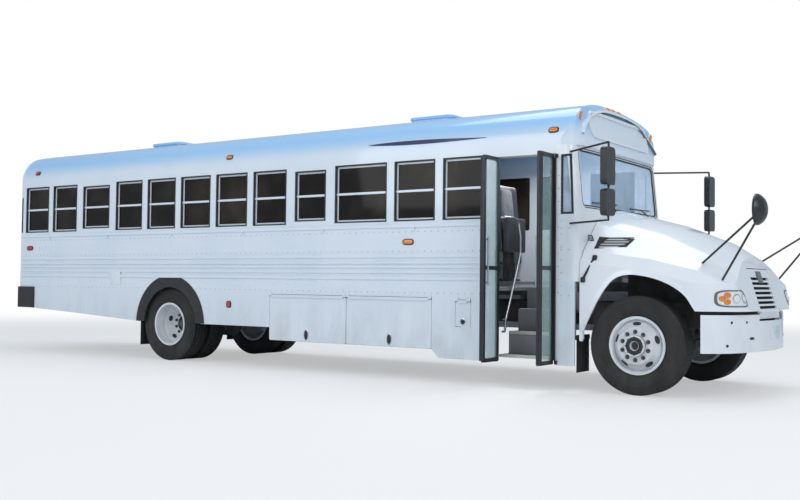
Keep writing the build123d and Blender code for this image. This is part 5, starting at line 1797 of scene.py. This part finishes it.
@dataclass
class Rear:
    """Lamps, handle, hinges and gasket at the back, flaps and round arches.

    A flap's row gives its station, the distance of its inner edge from the middle and its top.
    """

    arch_x: float = REAR_AXLE + 0.07
    arch_radii: tuple[float, float] = (0.69, 0.522)
    top_lamps: float = 3.07
    hinge_y: float = -0.415
    hinges: tuple[float, ...] = (1.3, 1.8, 2.3)
    window_shape: tuple[float, ...] = (0.33, 1.83, 2.40, 0.04)
    flap_low: float = 0.20
    flaps: tuple[tuple[float, ...], ...] = ((-0.656, 0.85, 0.60), (-7.515, 0.60, 0.70))

    def lamps(self) -> None:
        """Fits the round lamps, the three small ones at the top and the blank panel."""
        skin = Skin("rear_wall", "rear_bumper")
        red, amber, clear, bezel = Form(), Form(), Form(), Form()
        for form, left, up, wide in (
            (red, 0.98, 1.30, 0.17), (amber, 0.98, 1.52, 0.17), (clear, 0.76, 1.30, 0.11),
            (red, 1.0, 2.86, 0.17), (amber, 0.76, 2.86, 0.17),
        ):
            for side in Side:
                spot, normal = skin.behind(side.value * left, up)
                bezel.pad(spot, normal, (wide + 0.03, wide + 0.03), 0.008, 1.0)
                form.pad(spot, normal, (wide, wide), 0.016, 1.0)
        for left in (-0.2, 0.0, 0.2):
            spot, normal = skin.behind(left, self.top_lamps)
            red.pad(spot, normal, (0.10, 0.04), 0.012, 0.5)
        spot, normal = skin.behind(0.66, 1.55)
        bezel.pad(spot, normal, (0.32, 0.17), 0.003, 0.12)
        red.done("tail_lamps", "coach", Palette.red, Slot.LAMP)
        amber.done("rear_amber_lamps", "coach", Palette.amber, Slot.LAMP)
        clear.done("backup_lamps", "coach", Palette.lamp, Slot.LAMP)
        bezel.done("rear_lamp_bezels", "coach", Palette.black, Slot.BLACK)

    def door(self) -> None:
        """Fits the rear door's hinges, handle and window seal."""
        door, seal = Form(), Form()
        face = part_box("exit_door")[0].x
        for up in self.hinges:
            foot, tip = [Vector((face - 0.004, self.hinge_y, up + far)) for far in (-0.05, 0.05)]
            door.peg(foot, tip, 0.011, sides=10)
        door.box(Vector((face - 0.05, 0.30, 1.46)), Vector((face - 0.036, 0.33, 1.62)), 0.004)
        door.box(Vector((face - 0.04, 0.303, 1.53)), Vector((face + 0.002, 0.327, 1.55)))
        edges = [
            [Vector((face - 0.006, left, up)) for left, up in rounded(*self.window_shape, grow)]
            for grow in (0.016, -0.012)
        ]
        seal.ring(*edges, Vector((0.05, 0, 0)))
        door.done("exit_door_handle", "exit_door", Palette.chrome, Slot.WHEEL)
        seal.done("exit_window_seal", "exit_door", Palette.gasket, Slot.BLACK)

    def arches(self) -> None:
        """Lays the round rear arches and hangs the mud flaps."""
        arch, flaps = Form(), Form()
        for side in Side:
            left = side.value * (HALF_WIDTH + 0.006)
            edges = []
            for radius in self.arch_radii:
                low = math.asin(0.03 / radius)
                angles = [low + (math.pi - 2 * low) * i / 40 for i in range(41)]
                edges.append([
                    at(self.arch_x + math.cos(angle) * radius, left, HUB_Z + math.sin(angle) * radius)
                    for angle in angles
                ])
            arch.ring(*edges, Vector((0, -side.value * 0.03, 0)), closed=False)
            for station, inner, top in self.flaps:
                for half, outer, low in ((0.004, 1.165, self.flap_low), (0.012, 1.20, top - 0.05)):
                    flaps.box(
                        at(station - half, side.value * inner, low),
                        at(station + half, side.value * outer, top), 0.002,
                    )
        piece = arch.done("round_arches", "coach", Palette.gasket, Slot.BLACK)
        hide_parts("arch_lips")
        flaps.done("mud_flaps", "coach", Palette.rubber, Slot.BLACK)

    def build(self) -> None:
        """Builds the back, the rear arches and the flaps."""
        self.lamps()
        self.door()
        self.arches()


@dataclass
class Studio:
    """Camera, floor, world and lamps.

    A soft box's row gives its name, its place and its target, both from the front axle, the length
    of its edge and its power.
    """

    eye: Point = (3.881, -11.056, 1.138)
    right: Point = (0.8228, 0.5682, 0.0111)
    up: Point = (0.0093, -0.0330, 0.9994)
    ahead: Point = (-0.5683, 0.8222, 0.0324)
    lens: float = 45.2
    floor_size: float = 160.0
    light: tuple[float, ...] = (0.74, 0.87, 1.0, 1.0)
    strength: float = 0.56
    boxes: tuple[tuple[str, Point, Point, float, float], ...] = (
        ("key_box", (9.0, -9.0, 9.0), (-2.0, 0.0, 1.5), 8.0, 620.0),
        ("side_box", (-9.0, -14.0, 7.0), (-5.0, 0.0, 1.5), 8.0, 400.0),
        ("cabin_box", (-1.6, 0.1, 2.95), (-1.5, -0.3, 1.2), 1.0, 40.0),
        ("top_box", (-3.0, 3.0, 13.0), (-4.0, 0.0, 2.0), 10.0, 600.0),
    )

    def camera(self) -> None:
        """Sets the camera where the photograph was taken from."""
        data = bpy.data.cameras.new("camera")
        data.lens = self.lens
        data.sensor_width = 36.0
        data.clip_end = 300.0
        camera = linked("camera", data)
        axes = Matrix((self.right, self.up, tuple(-Vector(self.ahead)))).transposed()
        camera.matrix_world = Matrix.Translation(at(*self.eye)) @ axes.to_4x4()
        bpy.context.scene.camera = camera

    def floor(self) -> None:
        """Lays a pale floor that keeps the coach's shadow and reads white to the camera."""
        mesh = bmesh.new()
        bmesh.ops.create_grid(mesh, x_segments=1, y_segments=1, size=self.floor_size)
        data = bpy.data.meshes.new("studio_floor")
        mesh.to_mesh(data)
        mesh.free()
        floor = linked("studio_floor", data)
        nodes = Nodes("studio_floor")
        nodes.set(Base_Color=nodes.mix(nodes.noise(0.4), (0.86, 0.86, 0.86), (0.84, 0.84, 0.84)))
        nodes.set(Roughness=0.9)
        glow = nodes.add("ShaderNodeEmission", {}, {"Color": (1.0, 1.0, 1.0), "Strength": 1.0})
        far = (nodes.axis("X") ** 2.0 + nodes.axis("Y") ** 2.0) ** 0.5
        camera_ray = nodes.add("ShaderNodeLightPath", {}, {}, "Is Camera Ray")
        seen = camera_ray * (far.fade(9.0, 24.0) * 0.55 + 0.45)
        surface = Value(nodes, nodes.shader.outputs[0])
        shown = nodes.add("ShaderNodeMixShader", {}, {0: seen, 1: surface, 2: glow})
        nodes.feed(nodes.output.inputs["Surface"], shown)
        data.materials.append(nodes.material)

    def world(self) -> None:
        """Fills the room with even light, white where the camera and rays through glass look at it."""
        world = bpy.data.worlds.new("studio")
        world.use_nodes = True
        tree = world.node_tree
        tree.nodes.clear()
        path = tree.nodes.new("ShaderNodeLightPath")
        seen = tree.nodes.new("ShaderNodeMath")
        seen.operation = "MAXIMUM"
        tree.links.new(path.outputs["Is Camera Ray"], seen.inputs[0])
        tree.links.new(path.outputs["Is Transmission Ray"], seen.inputs[1])
        light = tree.nodes.new("ShaderNodeBackground")
        light.inputs["Color"].default_value = self.light
        light.inputs["Strength"].default_value = self.strength
        white = tree.nodes.new("ShaderNodeBackground")
        white.inputs["Color"].default_value = (1.0, 1.0, 1.0, 1.0)
        blend = tree.nodes.new("ShaderNodeMixShader")
        output = tree.nodes.new("ShaderNodeOutputWorld")
        tree.links.new(seen.outputs[0], blend.inputs[0])
        tree.links.new(light.outputs[0], blend.inputs[1])
        tree.links.new(white.outputs[0], blend.inputs[2])
        tree.links.new(blend.outputs[0], output.inputs["Surface"])
        bpy.context.scene.world = world

    def lamp(self, name: str, place: Point, target: Point, size: float, power: float) -> None:
        """Hangs a square soft box.

        Args:
            name: The lamp's name.
            place: Where it hangs, as a station, a distance left and a height.
            target: What it points at, given the same way.
            size: The length of its edge.
            power: Its power in watts.
        """
        data = bpy.data.lights.new(name, "AREA")
        data.shape = "SQUARE"
        data.size = size
        data.energy = power
        lamp = linked(name, data)
        way = at(*target) - at(*place)
        lamp.matrix_world = (
            Matrix.Translation(at(*place)) @ way.to_track_quat("-Z", "Y").to_matrix().to_4x4()
        )

    def build(self) -> None:
        """Sets up the whole studio."""
        self.camera()
        self.floor()
        self.world()
        for row in self.boxes:
            self.lamp(*row)
        view = bpy.context.scene.view_settings
        view.view_transform = "Standard"


def main() -> None:
    """Builds every sub-assembly in order."""
    logging.basicConfig(level=logging.INFO, format="%(name)s: %(message)s")
    Dress().build()
    Wheels().build()
    Windows().build()
    SideDetail().build()
    Front().build()
    Entry().build()
    Seats().build()
    Rear().build()
    Studio().build()


if __name__ == "__main__":
    main()
